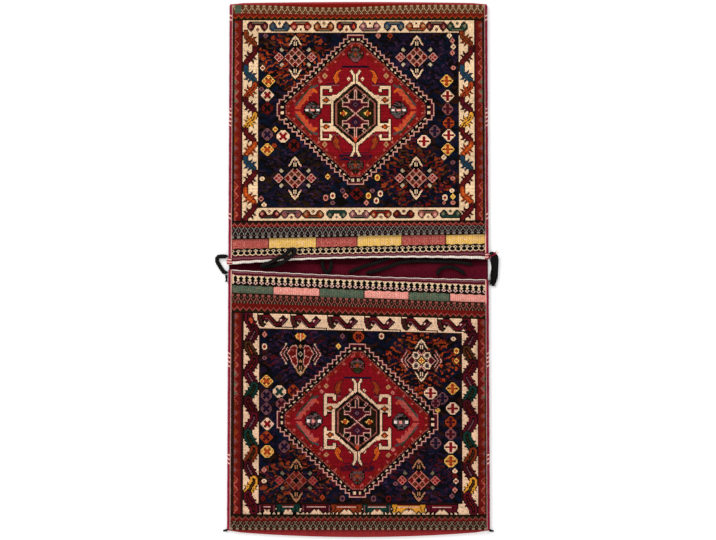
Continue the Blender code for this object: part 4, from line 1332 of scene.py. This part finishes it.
binding_wool = wool_material("overcast_wool_yarn", 0.0007, 0.85, 0.02, 0.4)
LASHING = 0.014
for bag in (UPPER, LOWER):
    for hand, side in ((-1, "left"), (1, "right")):
        fold, mouth = seam_ends(bag, hand)
        if bag is UPPER:
            ob = make_wrapping(f"{side}_lashing", hand, mouth, mouth + LASHING, 0.0035, lashing_pale)
            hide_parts(f"lashing_{side}")
            mouth += LASHING + CLEARANCE
        ob = make_wrapping(f"{bag.name}_{side}_overcasting", hand, fold, mouth, 0, binding_pale)
        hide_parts(f"binding_{bag.name}_{side}")
print("six wrappings")

# %% [markdown]
# ## Goat hair
#
# The closing loops, the tie and the tassel are black goat hair. A loop is a flat plait of three strands:
# each strand swings from side to side once for each turn, while it goes over and under twice, and the
# three are a third of a turn apart. The hair is coarse and only a little glossy.


# %% Hair material
def hair_material(name):
    """Black hair, with painted highlights: streaks of a dark brown grey along its length, from a noise
    stretched with the UV map, that stand in for the hair's sheen.
    """
    material, tree, output = new_material(name)
    place = add(tree, "ShaderNodeUVMap", {"uv_map": "cloth"})
    long = add(tree, "ShaderNodeMapping", vector=place.outputs[0], scale=(900, 60, 1))
    streak = add(tree, "ShaderNodeTexNoise", vector=long.outputs[0], scale=1.0, detail=2.0)
    colour = add(tree, "ShaderNodeValToRGB", fac=streak.outputs[0])
    ramp = colour.color_ramp.elements
    ramp[0].position, ramp[0].color = 0.35, (*linear("#030303"), 1)
    # painted highlight: the ramp's lighter end, which the streaks reach, stands in for the sheen on the
    # hair
    ramp[1].position, ramp[1].color = 0.78, (*linear("#24221F"), 1)
    height = add(tree, "ShaderNodeBump", strength=0.5, distance=0.0006, height=streak.outputs[0])
    surface = add(tree, "ShaderNodeBsdfPrincipled", base_color=colour.outputs[0], roughness=0.55,
                  specular_ior_level=0.07, normal=height.outputs[0])
    tree.links.new(surface.outputs[0], output.inputs["Surface"])
    return material


goat_hair = hair_material("black_goat_hair")


def smooth_route(points, spacing):
    """Points on the Catmull-Rom curve through a route: cubics that share their slope where they meet."""
    route = np.array(points, float)
    route = np.vstack([2 * route[0] - route[1], route, 2 * route[-1] - route[-2]])
    placed = [route[1:2]]
    for before, start, end, after in zip(route, route[1:], route[2:], route[3:]):
        t = np.arange(1, max(2, round(np.linalg.norm(end - start) / spacing)) + 1)
        t = (t / len(t))[:, None]
        bend, turn = 2 * before - 5 * start + 4 * end - after, 3 * start - before - 3 * end + after
        placed.append(start + t * (end - before) / 2 + t**2 * bend / 2 + t**3 * turn / 2)
    return np.concatenate(placed)


def frame_along(path):
    """Unit vectors to the side and up at each point of a path that stays near the level."""
    ahead = np.gradient(path, axis=0)
    ahead /= np.linalg.norm(ahead, axis=1)[:, None]
    side = np.cross(ahead, [0, 0, 1.0])
    side /= np.linalg.norm(side, axis=1)[:, None]
    return side, np.cross(side, ahead)


def tube(path, radius, sides=8):
    """Rings about a path, closed at both ends: points, faces and UV in metres round and along."""
    side, up = frame_along(path)
    turn = np.linspace(0, 2 * pi, sides, endpoint=False)
    radius = np.broadcast_to(np.asarray(radius, float), len(path))[:, None, None]
    ring = np.cos(turn)[None, :, None] * side[:, None] + np.sin(turn)[None, :, None] * up[:, None]
    points = (path[:, None] + radius * ring).reshape(-1, 3)
    faces = [list(f) for f in grid_faces(len(path), sides, closed=True)[:, ::-1]]
    faces += [list(range(sides)), list(range((len(path) - 1) * sides, len(path) * sides))[::-1]]
    walked = walked_along(path)
    uv = np.stack(np.broadcast_arrays(turn * 0.004, walked[:, None]), 2).reshape(-1, 2)
    return points, faces, uv


def joined(parts):
    """Several meshes' points, faces and UV as one."""
    points, faces, uv, start = [], [], [], 0
    for p, f, t in parts:
        points.append(p)
        uv.append(t)
        faces += [[corner + start for corner in face] for face in f]
        start += len(p)
    return np.concatenate(points), faces, np.concatenate(uv)


PLAIT_TURN = 0.017  # metres of a plait in which each strand swings across and back


def plait(path, diameter):
    """Three tubes about a path: sideways a sine of the way walked, upward a sine of twice the angle."""
    walked = walked_along(path)
    side, up = frame_along(path)
    ends = np.clip(np.minimum(walked, walked[-1] - walked) / 0.006, 0.25, 1)[:, None]
    strands = []
    for k in range(3):
        angle = (2 * pi * (walked / PLAIT_TURN + k / 3))[:, None]
        centre = path + ends * diameter * (0.28 * np.sin(angle) * side + 0.17 * np.sin(2 * angle) * up)
        strands.append(tube(centre, diameter * 0.29 * (0.55 + 0.45 * ends[:, 0])))
    return joined(strands)


# %% [markdown]
# ## Loops over the bridge, and a tie
#
# A cord's route is a short list of points (across, along, height), joined by a smooth curve. The
# loops lie on the bridge's cloth and the tie lies on the ground beside the left seam.

# %% The closing loops
BRAID = 0.0080  # diameter of a loop
TIE_BRAID = 0.0090
LOOPS = {
    1: [(-0.223, 0, 0), (-0.2, 0.002, 0.001), (-0.185, 0.005, 0.009),
        (-0.17, 0.0115, 0.0172), (-0.157, 0.0215, 0.017), (-0.145, 0.0315, 0.0165),
        (-0.1455, 0.04, 0.0165), (-0.156, 0.0375, 0.0165), (-0.169, 0.0265, 0.0165),
        (-0.188, 0.0165, 0.0175), (-0.205, 0.008, 0.013), (-0.222, 0.003, 0.0095)],
    2: [(-0.082, 0.016, 0), (-0.0815, 0.005, 0), (-0.0785, -0.006, 0), (-0.0715, -0.0125, 0),
        (-0.0645, -0.006, 0), (-0.0625, 0.005, 0), (-0.062, 0.016, 0)],
    3: [(-0.023, -0.013, 0), (-0.002, -0.004, 0), (0.026, 0.0055, 0), (0.056, 0.015, 0),
        (0.074, 0.023, 0)],
    4: [(0.017, -0.014, 0), (0.04, -0.009, 0), (0.068, 0, 0), (0.095, 0.01, 0),
        (0.129, 0.014, 0), (0.186, 0.013, 0), (0.231, 0.011, 0), (0.26, 0.006, 0)],
    5: [(0.179, -0.019, 0), (0.185, -0.006, 0), (0.202, 0, 0), (0.222, -0.003, 0),
        (0.243, -0.016, 0)],
}


def make_cord(name, route, floor_height, diameter, node):
    """A plaited cord along a route whose heights are those of its underside."""
    lift = floor_height + CLEARANCE + diameter / 2
    path = smooth_route([(x, y, z + lift) for x, y, z in route], 0.0012)
    points, faces, uv = plait(path, diameter)
    ob = make_piece(name, points, faces, goat_hair, uv=uv)
    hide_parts(node)


for number, route in LOOPS.items():
    make_cord(f"plaited_loop_{number}", route, CLOTH, BRAID, f"closure_loop_{number}")


# %% The tie on the left seam
def beside_seam(hand, y, bulge=0.0):
    """x just clear of a seam's wrapping."""
    return float(hand * narrowed(HALF_WIDTH + bulge + CLEARANCE, y))


TIE = [(0.008, 0.024), (0.0175, 0.0235), (0.0215, 0.0195), (0.021, 0.0115), (0.0165, 0.0035),
       (0.0105, -0.006), (0.0055, -0.012)]
route = [(beside_seam(-1, 0.0245), 0.0245, 0), *[(-HALF_WIDTH - out, y, 0) for out, y in TIE],
         (beside_seam(-1, -0.0120), -0.0120, 0)]
make_cord("plaited_tie", route, 0.0, TIE_BRAID, "left_tie")


# %% [markdown]
# ## Loose hair
#
# A tassel is a bundle of thin tubes that follow one route. Each keeps its own place in the bundle,
# strays a little more toward its end, and tapers.

# %% Tassel, tuft and corner knots
def locks(route, radius, count, seed, frizz, taper=0.35):
    """Thin tubes side by side along a route: each keeps its own place in the bundle, and frays."""
    rng = np.random.default_rng(seed)
    path = smooth_route(route, 0.004)
    side, up = frame_along(path)
    share = np.linspace(0, 1, len(path))[:, None]
    bundle = []
    for _ in range(count):
        turn, away = rng.uniform(0, 2 * pi), radius * 0.8 * np.sqrt(rng.uniform(0, 1))
        drift = 1 - taper * share + frizz * share**2 * rng.normal(0, 1)
        wobble = 0.0007 * np.sin(share * rng.uniform(6, 16) + turn)
        own = path + side * (np.cos(turn) * away * drift + wobble)
        own += up * np.sin(turn) * away * 0.7 * (1 - taper * share)
        stop = len(path) - int(rng.integers(0, max(1, int(len(path) * 0.25))))
        thick = rng.uniform(0.0006, 0.0012) * (1.1 - 0.75 * np.linspace(0, 1, stop))
        bundle.append(tube(own[:stop], thick, 5))
    return joined(bundle)


def make_hair(name, node, parts):
    points, faces, uv = joined(parts)
    points[:, 2] = np.maximum(points[:, 2], CLEARANCE)
    ob = make_piece(name, points, faces, goat_hair, uv=uv)
    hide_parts(node)


TASSEL_THICK, TASSEL_SINKS = 0.0125, 0.002  # how thick it is, and how far it sinks to its tip
TASSEL = [(0.007, 0.0245), (0.0098, 0.013), (0.0104, -0.005), (0.008, -0.025), (0.004, -0.043)]
middle = CLEARANCE + TASSEL_THICK / 2
lying = [(HALF_WIDTH + out, y, middle - TASSEL_SINKS * k / 4) for k, (out, y) in enumerate(TASSEL)]
route = [(beside_seam(1, 0.0245, 0.0035), 0.0245, middle), *lying]
make_hair("hair_tassel", "right_tassel", [locks(route, 0.0115, 260, 21, 0.3, 0.35),
                                          locks(route[2:], 0.0060, 24, 24, 1.0, 0.0)])
x = beside_seam(-1, -0.0260) - 0.0025
route = [(x, -0.0180, 0.004), (x - 0.0005, -0.0260, 0.004), (x, -0.0340, 0.0035)]
make_hair("hair_tuft", "left_tuft", [locks(route, 0.0026, 26, 22, 0.5)])
for hand, side in ((-1, "left"), (1, "right")):
    x = hand * (HALF_WIDTH + 0.003)
    y = seam_ends(LOWER, hand)[0] - 0.0035
    route = [(x - hand * 0.005, y + 0.001, 0.004), (x, y, 0.0045), (x + hand * 0.005, y - 0.001, 0.004)]
    make_hair(f"{side}_corner_tuft", f"corner_knot_{side}", [locks(route, 0.0034, 30, 23, 0.4)])
print("hair pieces done")


# %% [markdown]
# ## Ends of the lashing's yarn
#
# Three short ends stand out where the right lashing was finished off. They are crimson at first and
# cream at their tips, like the two yarns that the lashing is wound from.

# %% Yarn ends at the right lashing
YARN_END = 0.0012  # radius of an end where it leaves the lashing
FRAYED = HALF_WIDTH + 0.0125  # x from which an end shows its cream yarn
y = seam_ends(UPPER, 1)[1] + 0.003
ends = []
for reach, rise in ((0.0200, 0.0150), (0.0170, 0.0120), (0.0150, 0.0175)):
    path = smooth_route([(HALF_WIDTH - 0.004, y + 0.002, TOP + 0.0004),
                         (HALF_WIDTH + 0.004, y + 0.005, 0.0150),
                         (HALF_WIDTH + 0.7 * reach, y + 0.7 * rise, 0.0150),
                         (HALF_WIDTH + reach, y + rise, 0.0125)], 0.0015)
    ends.append(tube(path, YARN_END * np.linspace(1, 0.6, len(path)), 6))
points, faces, uv = joined(ends)
corners = points[[face[0] for face in faces], 0]
rose, carmine = DYE_LIGHT[NUMBER["rose"]], DYE_LIGHT[NUMBER["carmine"]]
colours = np.where((corners > FRAYED)[:, None], rose, carmine)
ob = make_piece("lashing_yarn_ends", points, faces, binding_wool, colours)
print(len(faces), "faces in the yarn ends")
